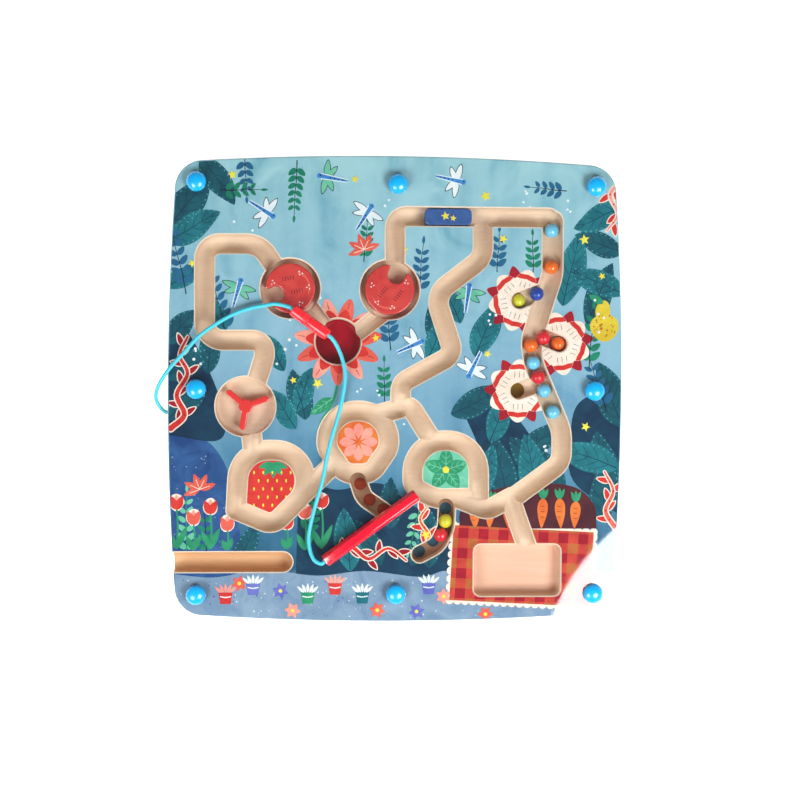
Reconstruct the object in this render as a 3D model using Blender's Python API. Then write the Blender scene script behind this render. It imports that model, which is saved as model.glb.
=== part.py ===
# Magnetic maze board for young children. A thick wooden panel has channels, round rooms and
# pockets routed into its top, and a clear cover screwed over it keeps the balls, the turning
# gates and the slider in. A pen with a magnet in its tip hangs on a cord with a safety clasp.
# Metres, +Z up, origin under the middle of the board on its flat underside.
import math

import bmesh
import bpy
from mathutils import Matrix, Vector

# Board outline: four long bowed sides with round corners
BOARD_WIDTH = 0.300
BOARD_LENGTH = 0.307
SIDE_RADIUS = 1.885
CORNER_RADIUS = 0.0185
PANEL_THICKNESS = 0.015
PANEL_EDGE_ROUND = 0.0008
COVER_THICKNESS = 0.003
COVER_EDGE_ROUND = 0.0004

# Gap left between pieces that touch, and how far a cutter runs past the face it cuts
SEAT_GAP = 0.0003
OVERRUN = 0.0003

# Balls and the channels that they roll in
BALL_DIAMETER = 0.0094
GROOVE_PLAY = 0.0026
WIDE_PLAY = 0.0036
NARROW_PLAY = 0.0012
HEADROOM = 0.0006
LIP_CHAMFER = 0.0005
SLOT_EXTRA_DEPTH = 0.0017
SLOT_FLOOR_RADIUS = 0.002
MOUTH_EXTRA_DEPTH = 0.001
MOUTH_FLOOR_RADIUS = 0.0012
SPOT_DIAMETER = 0.0084
SPOT_DEPTH = 0.0007

# Round rooms, round basin and the box-shaped basin
CHAMBER_DIAMETER = 0.039
CHAMBER_EXTRA_DEPTH = 0.0003
CHAMBER_FLOOR_RADIUS = 0.0015
ROUND_BASIN_DIAMETER = 0.030
BASIN_WIDTH = 0.0578
BASIN_LENGTH = 0.0341
BASIN_CORNER_RADIUS = 0.0046
BASIN_FLOOR_RADIUS = 0.003
BASIN_EXTRA_DEPTH = 0.0002

# Groove that the pen is kept in, open at the board's left side
PEN_GROOVE_WIDTH = 0.0128
PEN_GROOVE_DEPTH = 0.0104

# Notched discs that turn in the upper rooms
DISC_DIAMETER = 0.0328
DISC_TOP_DROP = 0.001
DISC_EDGE = 0.0006
NOTCH_DIAMETER = 0.0114
NOTCH_CENTRE = 0.0105
NOTCH_LIP_RADIUS = 0.0014
PIN_DIAMETER = 0.004
PIN_PLAY = 0.0006
PIN_SINK = 0.003
PIN_TOP_DROP = 0.005
PIN_EDGE = 0.0004

# Three-armed spinner in the left room
SPINNER_REACH = 0.0159
SPINNER_ARM_WIDTH = 0.004
SPINNER_ARM_THICKNESS = 0.0045
SPINNER_ARM_DROP = 0.0030
SPINNER_HUB_DIAMETER = 0.0092
SPINNER_BOSS_DIAMETER = 0.0074
SPINNER_EDGE = 0.0005
SPINNER_PIN_DROP = 0.0016

# Slider in the top channel
SLIDER_LENGTH = 0.0315
SLIDER_SIDE_PLAY = 0.0013
SLIDER_BOTTOM_PLAY = 0.0004
SLIDER_TOP_DROP = 0.0008
SLIDER_CORNER_RADIUS = 0.003
SLIDER_EDGE = 0.0005

# Screws that hold the cover, under domed snap-on caps
SCREW_SHANK_DIAMETER = 0.0032
SCREW_LENGTH = 0.013
SCREW_TIP = 0.002
SCREW_HEAD_DIAMETER = 0.0068
SCREW_HEAD_HEIGHT = 0.0024
SCREW_HEAD_EDGE = 0.0006
PILOT_PLAY = 0.0006
PILOT_EXTRA_DEPTH = 0.0004
COVER_HOLE_PLAY = 0.001
CAP_DIAMETER = 0.013
CAP_HEIGHT = 0.0055
CAP_RIM_HEIGHT = 0.0012
CAP_RIM_EDGE = 0.0003
CAP_HOLLOW_PLAY = 0.0016
CAP_ROOF_GAP = 0.0004

# Cord, its hole in the board's left side, and the two halves of its clasp
CORD_DIAMETER = 0.0026
CORD_PLAY = 0.0006
CORD_HOLE_DEPTH = 0.009
CORD_HOLE_HEIGHT = 0.0075
CORD_POINT_STEP = 0.0062
CLASP_DIAMETER = 0.0078
CLASP_SOCKET_LENGTH = 0.0129
CLASP_PLUG_LENGTH = 0.0156
CLASP_END_ROUND = 0.0012
CLASP_SEAM_EDGE = 0.0003
CLASP_SPIGOT_DIAMETER = 0.0048
CLASP_SPIGOT_LENGTH = 0.005
CLASP_SPIGOT_PLAY = 0.0006
CLASP_CORD_BORE_DEPTH = 0.004
CLASP_HEADING = math.radians(-35.7)

# Six-sided magnet pen that lies on the cover
PEN_LENGTH = 0.0742
PEN_ACROSS_CORNERS = 0.0087
PEN_END_CHAMFER = 0.0009
PEN_HEADING = math.radians(36.0)
MAGNET_DIAMETER = 0.0042
MAGNET_LENGTH = 0.005
MAGNET_PLAY = 0.0006
MAGNET_EDGE = 0.0003

# Mesh fineness
ARC_STEP = math.radians(30)
FLOOR_STEPS = 3
NOSE_STEPS = 6
SIDE_STEPS = 3
CORNER_STEPS = 5

# Sizes worked out from those above
GROOVE_WIDTH = BALL_DIAMETER + GROOVE_PLAY
WIDE_WIDTH = BALL_DIAMETER + WIDE_PLAY
NARROW_WIDTH = BALL_DIAMETER + NARROW_PLAY
GROOVE_DEPTH = BALL_DIAMETER + SEAT_GAP + HEADROOM
SLOT_DEPTH = GROOVE_DEPTH + SLOT_EXTRA_DEPTH
MOUTH_DEPTH = GROOVE_DEPTH + MOUTH_EXTRA_DEPTH
CHAMBER_DEPTH = GROOVE_DEPTH + CHAMBER_EXTRA_DEPTH
BASIN_DEPTH = GROOVE_DEPTH + BASIN_EXTRA_DEPTH
CHAMBER_FLOOR = PANEL_THICKNESS - CHAMBER_DEPTH
COVER_BASE = PANEL_THICKNESS + SEAT_GAP
COVER_TOP = COVER_BASE + COVER_THICKNESS
PIN_HOLE_DIAMETER = PIN_DIAMETER + PIN_PLAY
PIN_HOLE_FLOOR = CHAMBER_FLOOR - PIN_SINK
CORD_BORE_DIAMETER = CORD_DIAMETER + CORD_PLAY

# Places as shares of the board's width and length, from its middle.
# A third figure is a bend's radius as a share of the width.
LEFT_LOOP_SHARES = ((-0.247, 0.231, 0), (-0.301, 0.31, 0.053), (-0.42, 0.309, 0.033),
                    (-0.42, 0.104, 0.04), (-0.29, 0.105, 0.024), (-0.29, 0.069, 0.031),
                    (-0.32, -0.024, 0))
NECK_SHARES = ((-0.322, -0.057, 0), (-0.313, -0.136, 0))
RING_A_SHARES = ((-0.351, -0.259, 0), (-0.344, -0.131, 0.066), (-0.201, -0.13, 0.066),
                 (-0.2, -0.222, 0.064), (-0.27, -0.292, 0.033), (-0.345, -0.261, 0))
LINK_AB_SHARES = ((-0.209, -0.229, 0), (-0.132, -0.155, 0))
RING_B_SHARES = ((-0.017, -0.045, 0.066), (-0.016, -0.125, 0.044), (-0.055, -0.181, 0.037),
                 (-0.114, -0.181, 0.037), (-0.153, -0.125, 0.044), (-0.153, -0.046, 0.066))
LINK_JB_SHARES = ((0.0078, -0.0405, 0), (-0.043, -0.054, 0))
LINK_JC_SHARES = ((0.0102, -0.031, 0), (0.033, -0.039, 0.026), (0.075, -0.103, 0))
RING_C_SHARES = ((0.183, -0.232, 0), (0.182, -0.109, 0.07), (0.036, -0.109, 0.07),
                 (0.037, -0.211, 0.031), (0.089, -0.235, 0.066), (0.164, -0.233, 0))
BOWL_SHARES = ((0.142, -0.236, 0), (0.203, -0.26, 0.031), (0.257, -0.231, 0))
WAVE_RUN_SHARES = ((0.188, 0.368, 0), (0.189, 0.285, 0.044), (0.083, 0.205, 0.048),
                   (0.126, 0.077, 0.029), (0.009, 0.014, 0.031), (0.009, -0.038, 0))
TOP_RUN_SHARES = ((-0.005, 0.242, 0), (-0.005, 0.372, 0.024), (0.334, 0.372, 0))
RIGHT_RUN_SHARES = ((0.343, 0.365, 0), (0.343, 0.251, 0.066), (0.299, 0.112, 0.057),
                    (0.299, 0.092, 0))
LOWER_RUN_SHARES = ((0.299, 0.116, 0), (0.299, 0.067, 0.127), (0.367, -0.088, 0.088),
                    (0.367, -0.156, 0.044), (0.257, -0.235, 0))
BASIN_RUN_SHARES = ((0.255, -0.239, 0), (0.293, -0.343, 0))
MOUTH_1_SHARES = ((0.271, 0.194, 0), (0.328, 0.216, 0))
MOUTH_2_SHARES = ((0.36, 0.101, 0), (0.307, 0.122, 0))
MOUTH_3_SHARES = ((0.27, -0.001, 0), (0.317, 0.015, 0))
LINK_LEFT_SHARES = ((-0.218, 0.209, 0), (-0.155, 0.124, 0))
LINK_RIGHT_SHARES = ((-0.017, 0.175, 0), (-0.1, 0.112, 0))
SLOT_B_SHARES = ((-0.083, -0.198, 0), (-0.071, -0.232, 0.04), (-0.025, -0.263, 0))
SLOT_C_SHARES = ((0.113, -0.255, 0), (0.111, -0.297, 0.048), (0.092, -0.335, 0.04),
                 (0.053, -0.355, 0))
PEN_GROOVE_SHARES = ((-0.513, -0.371, 0), (-0.249, -0.371, 0))
CHAMBER_LEFT_SHARE = (-0.234, 0.216)
CHAMBER_RIGHT_SHARE = (-0.016, 0.215)
SPINNER_ROOM_SHARE = (-0.331, -0.037)
ROUND_BASIN_SHARE = (-0.129, 0.103)
BASIN_SHARE = (0.27, -0.39)
SLOT_B_SPOT_SHARES = ((-0.078, -0.206), (-0.057, -0.241), (-0.026, -0.262))
SLOT_C_SPOT_SHARES = ((0.113, -0.26), (0.104, -0.297), (0.085, -0.33), (0.054, -0.354))
SCREW_X_SHARE = 0.437
SCREW_Y_SHARE = 0.439
SLIDER_X_SHARE = 0.112
CORD_HOLE_Y_SHARE = -0.051
CLASP_SHARE = (-0.2287, 0.170)
PEN_SHARE = (-0.1557, -0.3658)

# Which way each notch faces, and how the spinner's first arm stands
NOTCH_LEFT_HEADING = math.radians(204)
NOTCH_RIGHT_HEADING = math.radians(66)
SPINNER_HEADING = math.radians(20.9)

# Balls: how far along its run a ball lies, as a share, or the gap to the ball before it
BALL_01_SHARE = 0.068
BALL_02_SHARE = 0.349
BALL_11_SHARE = 0.417
BALL_12_SHARE = 0.243
POCKET_1_GAP = 0.0036
POCKET_2_GAP = 0.0013
CORNER_GAP = 0.00045
LOOSE_GAP = 0.0022
QUEUE_GAP = 0.00065
SLOT_GAP = 0.00045

# Cord routes, free middle parts: from the board's side over its edge to the clasp, and from
# the clasp in a long bow to the pen
BOARD_SIDE_ROUTE = ((-0.1535, -0.0147, 0.0076), (-0.1559, -0.0118, 0.0082),
                    (-0.1578, -0.0076, 0.0104), (-0.1577, -0.0033, 0.0133),
                    (-0.1558, 0.0016, 0.0166), (-0.1529, 0.0066, 0.0193),
                    (-0.1492, 0.0119, 0.0204), (-0.1445, 0.0176, 0.0200),
                    (-0.1385, 0.0240, 0.0199), (-0.1288, 0.0347, 0.0199),
                    (-0.1161, 0.0437, 0.0199), (-0.1060, 0.0492, 0.0199),
                    (-0.0960, 0.0528, 0.0199), (-0.0870, 0.0546, 0.0200),
                    (-0.0795, 0.0557, 0.0207))
PEN_SIDE_ROUTE = ((-0.0395, 0.0286, 0.0211), (-0.0362, 0.0208, 0.0201),
                  (-0.0343, 0.0126, 0.0199), (-0.0341, 0.0054, 0.0199),
                  (-0.0351, -0.0016, 0.0199), (-0.0371, -0.0117, 0.0199),
                  (-0.0397, -0.0217, 0.0199), (-0.0427, -0.0318, 0.0199),
                  (-0.0457, -0.0444, 0.0199), (-0.0487, -0.0605, 0.0199),
                  (-0.0526, -0.0738, 0.0199), (-0.0560, -0.0873, 0.0199),
                  (-0.0575, -0.0973, 0.0200), (-0.0568, -0.1045, 0.0204),
                  (-0.0554, -0.1090, 0.0210), (-0.0532, -0.1122, 0.0217))

# Colours and finishes
WOOD = ("panel_wood", (0.74, 0.56, 0.38), 0.55, 0.0)
CLEAR = ("clear_cover", (0.90, 0.95, 0.96), 0.05, 0.0)
BLUE_CAP = ("cap_blue", (0.0, 0.42, 0.95), 0.35, 0.0)
STEEL = ("screw_steel", (0.60, 0.60, 0.62), 0.30, 1.0)
RED_DISC = ("disc_red", (0.68, 0.05, 0.04), 0.45, 0.0)
RED_SPINNER = ("spinner_red", (0.85, 0.04, 0.04), 0.35, 0.0)
SLIDER_BLUE = ("slider_blue", (0.03, 0.11, 0.34), 0.45, 0.0)
RED_CLASP = ("clasp_red", (0.93, 0.02, 0.03), 0.30, 0.0)
RED_PEN = ("pen_red", (0.76, 0.0, 0.02), 0.15, 0.0)
CORD_CYAN = ("cord_cyan", (0.10, 0.75, 0.87), 0.60, 0.0)
BALL_COLOURS = {"light_blue": (0.16, 0.58, 0.87), "orange": (1.0, 0.19, 0.01),
                "navy": (0.01, 0.06, 0.43), "yellow": (0.75, 0.72, 0.03),
                "red": (0.87, 0.02, 0.04)}


# Scene and materials

def clear_scene():
    """Take every object out of the scene, so the script can run again in an open file."""
    for piece in list(bpy.data.objects):
        bpy.data.objects.remove(piece, do_unlink=True)


def finish(name, colour, roughness, metallic):
    """A plain Principled material."""
    material = bpy.data.materials.new(name)
    material.use_nodes = True
    shader = material.node_tree.nodes["Principled BSDF"]
    shader.inputs["Base Color"].default_value = (*colour, 1)
    shader.inputs["Roughness"].default_value = roughness
    shader.inputs["Metallic"].default_value = metallic
    material.diffuse_color = (*colour, 1)
    return material


def piece_from(bm, name, look, smooth_angle=math.radians(40)):
    """Turn a bmesh into a named piece, faces outward, shaded smooth with its sharp edges kept."""
    bmesh.ops.recalc_face_normals(bm, faces=bm.faces)
    mesh = bpy.data.meshes.new(name)
    bm.to_mesh(mesh)
    bm.free()
    mesh.shade_smooth()
    mesh.set_sharp_from_angle(angle=smooth_angle)
    piece = bpy.data.objects.new(name, mesh)
    bpy.context.scene.collection.objects.link(piece)
    if look:
        mesh.materials.append(finish(*look))
    return piece


def cutters_for(piece, cutters):
    """Cut a group of hidden shapes out of a piece with one exact Boolean."""
    group = bpy.data.collections.new(piece.name + "_cutters")
    bpy.context.scene.collection.children.link(group)
    for cutter in cutters:
        bpy.context.scene.collection.objects.unlink(cutter)
        group.objects.link(cutter)
        hide(cutter)
    cut = piece.modifiers.new("cut", "BOOLEAN")
    cut.operation = "DIFFERENCE"
    cut.solver = "EXACT"
    cut.operand_type = "COLLECTION"
    cut.collection = group


def combine(piece, other, operation):
    """Join a hidden shape to a piece, or keep only what both share."""
    hide(other)
    step = piece.modifiers.new(other.name, "BOOLEAN")
    step.operation = operation
    step.solver = "EXACT"
    step.object = other


def hide(shape):
    """Mark a shape as a cutter or guide that is not part of the board."""
    shape.hide_render = True
    shape.display_type = "WIRE"


# Outlines and profiles

def arc(centre, radius, start, end, steps):
    """Points of an arc about a 2D centre, both ends included."""
    angles = [start + (end - start) * step / steps for step in range(steps + 1)]
    return [Vector((centre[0] + radius * math.cos(a), centre[1] + radius * math.sin(a)))
            for a in angles]


def board_outline(inset):
    """The board's bowed square, counter-clockwise, drawn in by inset."""
    reach_x = SIDE_RADIUS - BOARD_WIDTH / 2
    reach_y = SIDE_RADIUS - BOARD_LENGTH / 2
    half_chord = Vector((reach_x, -reach_y)) / 2
    rise = math.sqrt((SIDE_RADIUS - CORNER_RADIUS) ** 2 - half_chord.length_squared)
    corner = -Vector((reach_x, reach_y)) / 2 + Vector((reach_y, reach_x)).normalized() * rise
    side_end = math.atan2(corner.y, corner.x + reach_x)
    top_start = math.atan2(corner.y + reach_y, corner.x)
    side = arc((-reach_x, 0), SIDE_RADIUS - inset, 0, side_end, SIDE_STEPS)
    turn = arc(corner, CORNER_RADIUS - inset, side_end, top_start, CORNER_STEPS)
    top = arc((0, -reach_y), SIDE_RADIUS - inset, top_start, math.pi / 2, SIDE_STEPS)
    quarter = side + turn[1:] + top[1:]
    left = [Vector((-p.x, p.y)) for p in reversed(quarter[:-1])]
    upper = quarter + left
    lower = [Vector((p.x, -p.y)) for p in reversed(upper[1:-1])]
    return upper + lower


def round_box(width, length, radius):
    """A rectangle with round corners about the origin, counter-clockwise."""
    points = []
    for index, (sx, sy) in enumerate(((1, 1), (-1, 1), (-1, -1), (1, -1))):
        centre = (sx * (width / 2 - radius), sy * (length / 2 - radius))
        start = index * math.pi / 2
        points += arc(centre, radius, start, start + math.pi / 2, FLOOR_STEPS)
    return points


def groove_profile(half, depth, floor_radius):
    """Half of a groove's section: chamfered lip, wall, round foot and the floor's middle."""
    lip = LIP_CHAMFER + OVERRUN
    floor = PANEL_THICKNESS - depth
    radius = min(floor_radius, half)
    profile = [(half + lip, PANEL_THICKNESS + OVERRUN), (half, PANEL_THICKNESS - LIP_CHAMFER)]
    for step in range(FLOOR_STEPS):
        angle = math.pi / 2 * step / FLOOR_STEPS
        profile.append((half - radius + radius * math.cos(angle),
                        floor + radius - radius * math.sin(angle)))
    if half > radius:
        profile.append((half - radius, floor))
    profile.append((0, floor))
    return profile


def route(shares, least_radius, closed=False):
    """A channel's centreline: straight legs joined by arcs, as (point, heading) pairs."""
    places = [Vector((x * BOARD_WIDTH, y * BOARD_LENGTH)) for x, y, _ in shares]
    count = len(places)
    samples = []
    for index, place in enumerate(places):
        inward = (place - places[index - 1]).normalized()
        onward = (places[(index + 1) % count] - place).normalized()
        if not closed and index in (0, count - 1):
            samples.append((place, onward if index == 0 else inward))
            continue
        turn = math.atan2(inward.x * onward.y - inward.y * onward.x, inward.dot(onward))
        side = math.copysign(1, turn)
        radius = max(shares[index][2] * BOARD_WIDTH, least_radius)
        start = place - inward * radius * math.tan(abs(turn) / 2)
        centre = start + side * radius * Vector((-inward.y, inward.x))
        steps = max(2, round(abs(turn) / ARC_STEP))
        for step in range(steps + 1):
            heading = Matrix.Rotation(turn * step / steps, 2) @ inward
            samples.append((centre - side * radius * Vector((-heading.y, heading.x)), heading))
    return samples


def at_share(shares):
    """A place on the board from its shares of width and length."""
    return Vector((shares[0] * BOARD_WIDTH, shares[1] * BOARD_LENGTH))


def run_length(samples):
    """Length of a centreline."""
    return sum((b[0] - a[0]).length for a, b in zip(samples, samples[1:]))


def along(samples, distance):
    """The point that lies a distance along a centreline."""
    left = distance
    for (start, _), (end, _) in zip(samples, samples[1:]):
        step = (end - start).length
        if left <= step:
            return start + (end - start) * left / step
        left -= step
    return samples[-1][0]


# Solids from outlines and profiles

def loft(bm, rings, closed=False):
    """Skin rings of equal count, with a cap at each end unless the loft closes on itself."""
    layers = [[bm.verts.new(point) for point in ring] for ring in rings]
    pairs = list(zip(layers, layers[1:]))
    if closed:
        pairs.append((layers[-1], layers[0]))
    for low, high in pairs:
        for index in range(len(low)):
            after = (index + 1) % len(low)
            bm.faces.new((low[index], low[after], high[after], high[index]))
    if not closed:
        bm.faces.new(layers[0])
        bm.faces.new(layers[-1])
    return layers


def stack(outlines, heights):
    """Rings of an outline at rising heights, for a loft."""
    return [[(p.x, p.y, z) for p in outline] for outline, z in zip(outlines, heights)]


def turned(bm, profile, centre, steps):
    """Turn a profile that starts and ends on the vertical axis through centre."""
    poles = [bm.verts.new((centre[0], centre[1], profile[index][1])) for index in (0, -1)]
    rings = []
    for radius, z in profile[1:-1]:
        angles = [2 * math.pi * step / steps for step in range(steps)]
        rings.append([bm.verts.new((centre[0] + radius * math.cos(a),
                                    centre[1] + radius * math.sin(a), z)) for a in angles])
    for low, high in zip(rings, rings[1:]):
        for index in range(steps):
            after = (index + 1) % steps
            bm.faces.new((low[index], low[after], high[after], high[index]))
    for pole, ring in zip(poles, (rings[0], rings[-1])):
        for index in range(steps):
            bm.faces.new((pole, ring[index], ring[(index + 1) % steps]))


def turned_piece(name, profile, look, centre=(0, 0), steps=24):
    """A turned piece or cutter."""
    bm = bmesh.new()
    turned(bm, profile, centre, steps)
    return piece_from(bm, name, look)


def rod_profile(radius, low, high, edge=0):
    """Profile of a plain rod, with its ends chamfered when an edge is given."""
    if not edge:
        return [(0, low), (radius, low), (radius, high), (0, high)]
    return [(0, low), (radius - edge, low), (radius, low + edge), (radius, high - edge),
            (radius - edge, high), (0, high)]


def stand_along(piece, place, heading):
    """Lay a piece that was turned about its own Z so that Z points along a heading."""
    axis = Vector((math.cos(heading), math.sin(heading), 0))
    up = Vector((0, 0, 1))
    frame = Matrix((up.cross(axis), up, axis)).transposed()
    piece.matrix_world = Matrix.Translation(place) @ frame.to_4x4()


# Channel cutters

def nose(bm, ring, point, outward, profile):
    """Close a swept groove with the round end that the routing bit leaves."""
    side = Vector((outward.y, -outward.x))
    span = len(profile) - 1
    top, floor = ring[0], ring[span + 1]
    first, last = ring[1:span + 1], ring[:span + 1:-1]
    if (first[0].co.xy - point).dot(side) < 0:
        first, last = last, first
    columns = [first]
    for step in range(1, NOSE_STEPS):
        angle = math.pi * step / NOSE_STEPS
        ray = side * math.cos(angle) + outward * math.sin(angle)
        columns.append([bm.verts.new((point.x + ray.x * u, point.y + ray.y * u, z))
                        for u, z in profile[:-1]])
    columns.append(last)
    for a, b in zip(columns, columns[1:]):
        bm.faces.new((top, a[0], b[0]))
        bm.faces.new((a[-1], floor, b[-1]))
        for index in range(span - 1):
            bm.faces.new((a[index], a[index + 1], b[index + 1], b[index]))


def groove_cutter(name, samples, profile, closed=False):
    """The space that a routing bit clears along a centreline."""
    bm = bmesh.new()
    rings = []
    for point, heading in samples:
        right = Vector((heading.y, -heading.x))
        halves = []
        for sign in (1, -1):
            halves.append([(point.x + sign * right.x * u, point.y + sign * right.y * u, z)
                           for u, z in profile[:-1]])
        top = (point.x, point.y, profile[0][1])
        floor = (point.x, point.y, profile[-1][1])
        ring = [top] + halves[0] + [floor] + halves[1][::-1]
        rings.append([bm.verts.new(place) for place in ring])
    pairs = list(zip(rings, rings[1:]))
    if closed:
        pairs.append((rings[-1], rings[0]))
    for a, b in pairs:
        for index in range(len(a)):
            after = (index + 1) % len(a)
            bm.faces.new((a[index], a[after], b[after], b[index]))
    if not closed:
        nose(bm, rings[0], samples[0][0], -samples[0][1], profile)
        nose(bm, rings[-1], samples[-1][0], samples[-1][1], profile)
    return piece_from(bm, name, None)


def groove(name, shares, width, depth, floor_radius=None, closed=False):
    """Centreline and cutter of one channel."""
    half = width / 2
    samples = route(shares, half + LIP_CHAMFER + 2 * OVERRUN, closed)
    profile = groove_profile(half, depth, half if floor_radius is None else floor_radius)
    return samples, groove_cutter(name, samples, profile, closed)


def round_pocket(name, place, diameter, depth, floor_radius, steps=28):
    """A round room with a flat floor."""
    profile = groove_profile(diameter / 2, depth, floor_radius)
    return turned_piece(name, [(0, PANEL_THICKNESS + OVERRUN)] + profile, None, place, steps)


def drilled(name, place, diameter, low, high, steps=12):
    """A plain drilled hole between two heights."""
    return turned_piece(name, rod_profile(diameter / 2, low, high), None, place, steps)


# The board

def screw_places():
    """Places of the cover screws: the corners and the middles of the sides."""
    rows = (("top", 1), ("middle", 0), ("bottom", -1))
    columns = (("left", -1), ("centre", 0), ("right", 1))
    return {row + "_" + column: at_share((sx * SCREW_X_SHARE, sy * SCREW_Y_SHARE))
            for row, sy in rows for column, sx in columns if sx or sy}


def build_channels():
    """Cutters of every channel, and the centrelines that balls and the slider need."""
    plain = (("left_loop", LEFT_LOOP_SHARES, GROOVE_WIDTH), ("neck", NECK_SHARES, GROOVE_WIDTH),
             ("ring_a", RING_A_SHARES, GROOVE_WIDTH), ("link_ab", LINK_AB_SHARES, GROOVE_WIDTH),
             ("link_jb", LINK_JB_SHARES, GROOVE_WIDTH), ("link_jc", LINK_JC_SHARES, GROOVE_WIDTH),
             ("ring_c", RING_C_SHARES, GROOVE_WIDTH), ("bowl", BOWL_SHARES, GROOVE_WIDTH),
             ("wave_run", WAVE_RUN_SHARES, GROOVE_WIDTH), ("top_run", TOP_RUN_SHARES, GROOVE_WIDTH),
             ("right_run", RIGHT_RUN_SHARES, WIDE_WIDTH), ("lower_run", LOWER_RUN_SHARES, GROOVE_WIDTH),
             ("basin_run", BASIN_RUN_SHARES, GROOVE_WIDTH), ("mouth_1", MOUTH_1_SHARES, NARROW_WIDTH),
             ("mouth_2", MOUTH_2_SHARES, NARROW_WIDTH), ("mouth_3", MOUTH_3_SHARES, NARROW_WIDTH),
             ("link_left", LINK_LEFT_SHARES, GROOVE_WIDTH),
             ("link_right", LINK_RIGHT_SHARES, NARROW_WIDTH))
    lines = {}
    cutters = []
    for name, shares, width in plain:
        lines[name], cutter = groove("cut_" + name, shares, width, GROOVE_DEPTH)
        cutters.append(cutter)
    lines["ring_b"], cutter = groove("cut_ring_b", RING_B_SHARES, GROOVE_WIDTH, GROOVE_DEPTH,
                                     closed=True)
    cutters.append(cutter)
    for name, shares in (("slot_b", SLOT_B_SHARES), ("slot_c", SLOT_C_SHARES)):
        lines[name], cutter = groove("cut_" + name, shares, NARROW_WIDTH, SLOT_DEPTH,
                                     SLOT_FLOOR_RADIUS)
        cutters.append(cutter)
    _, cutter = groove("cut_pen_groove", PEN_GROOVE_SHARES, PEN_GROOVE_WIDTH, PEN_GROOVE_DEPTH)
    cutters.append(cutter)
    return lines, cutters


def build_pockets():
    """Cutters of the rooms, basins, mouth pockets and the shallow spots in the slots."""
    cutters = [round_pocket("cut_" + name, at_share(share), CHAMBER_DIAMETER, CHAMBER_DEPTH,
                            CHAMBER_FLOOR_RADIUS, 24)
               for name, share in (("chamber_left", CHAMBER_LEFT_SHARE),
                                   ("chamber_right", CHAMBER_RIGHT_SHARE),
                                   ("spinner_room", SPINNER_ROOM_SHARE))]
    cutters.append(round_pocket("cut_round_basin", at_share(ROUND_BASIN_SHARE),
                                ROUND_BASIN_DIAMETER, CHAMBER_DEPTH, BASIN_FLOOR_RADIUS, 22))
    for index, shares in enumerate((MOUTH_1_SHARES, MOUTH_2_SHARES, MOUTH_3_SHARES)):
        cutters.append(round_pocket("cut_pocket_%d" % (index + 1), at_share(shares[0][:2]),
                                    NARROW_WIDTH, MOUTH_DEPTH, MOUTH_FLOOR_RADIUS, 12))
    spot_floor = PANEL_THICKNESS - SLOT_DEPTH - SPOT_DEPTH
    for index, share in enumerate(SLOT_B_SPOT_SHARES + SLOT_C_SPOT_SHARES):
        cutters.append(drilled("cut_spot_%d" % index, at_share(share), SPOT_DIAMETER, spot_floor,
                               spot_floor + SPOT_DEPTH + OVERRUN, 10))
    return cutters


def build_basin():
    """Cutter of the box-shaped basin that the balls end in."""
    half = BASIN_LENGTH / 2
    place = at_share(BASIN_SHARE)
    rings = []
    for u, z in groove_profile(half, BASIN_DEPTH, BASIN_FLOOR_RADIUS)[:-1]:
        grow = 2 * (u - half)
        outline = round_box(BASIN_WIDTH + grow, BASIN_LENGTH + grow, BASIN_CORNER_RADIUS + grow / 2)
        rings.append([(place.x + p.x, place.y + p.y, z) for p in outline])
    bm = bmesh.new()
    loft(bm, rings)
    return piece_from(bm, "cut_basin", None)


def build_panel():
    """The routed wooden panel."""
    edge = PANEL_EDGE_ROUND
    outlines = [board_outline(inset) for inset in (edge, 0, 0, edge)]
    heights = (0, edge, PANEL_THICKNESS - edge, PANEL_THICKNESS)
    bm = bmesh.new()
    loft(bm, stack(outlines, heights))
    panel = piece_from(bm, "maze_panel", WOOD)
    lines, cutters = build_channels()
    cutters += build_pockets()
    cutters.append(build_basin())
    for name, share in (("left", CHAMBER_LEFT_SHARE), ("right", CHAMBER_RIGHT_SHARE),
                        ("spinner", SPINNER_ROOM_SHARE)):
        cutters.append(drilled("cut_pin_hole_" + name, at_share(share), PIN_HOLE_DIAMETER,
                               PIN_HOLE_FLOOR, CHAMBER_FLOOR + OVERRUN))
    pilot_depth = SCREW_LENGTH + SEAT_GAP + PILOT_EXTRA_DEPTH - (COVER_TOP - PANEL_THICKNESS)
    for name, place in screw_places().items():
        cutters.append(drilled("cut_pilot_" + name, place, SCREW_SHANK_DIAMETER + PILOT_PLAY,
                               PANEL_THICKNESS - pilot_depth, PANEL_THICKNESS + OVERRUN, 8))
    hole = turned_piece("cut_cord_hole", rod_profile(CORD_BORE_DIAMETER / 2, -CORD_HOLE_DEPTH,
                                                     OVERRUN), None, steps=12)
    stand_along(hole, (-BOARD_WIDTH / 2, CORD_HOLE_Y_SHARE * BOARD_LENGTH, CORD_HOLE_HEIGHT), math.pi)
    cutters.append(hole)
    cutters_for(panel, cutters)
    return lines


def build_cover():
    """The clear cover sheet with its screw holes."""
    edge = COVER_EDGE_ROUND
    outlines = [board_outline(inset) for inset in (edge, 0, 0, edge)]
    heights = (COVER_BASE, COVER_BASE + edge, COVER_TOP - edge, COVER_TOP)
    bm = bmesh.new()
    loft(bm, stack(outlines, heights))
    cover = piece_from(bm, "cover_sheet", CLEAR)
    cutters_for(cover, [drilled("cut_cover_" + name, place, SCREW_SHANK_DIAMETER + COVER_HOLE_PLAY,
                                COVER_BASE - OVERRUN, COVER_TOP + OVERRUN)
                        for name, place in screw_places().items()])


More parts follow.
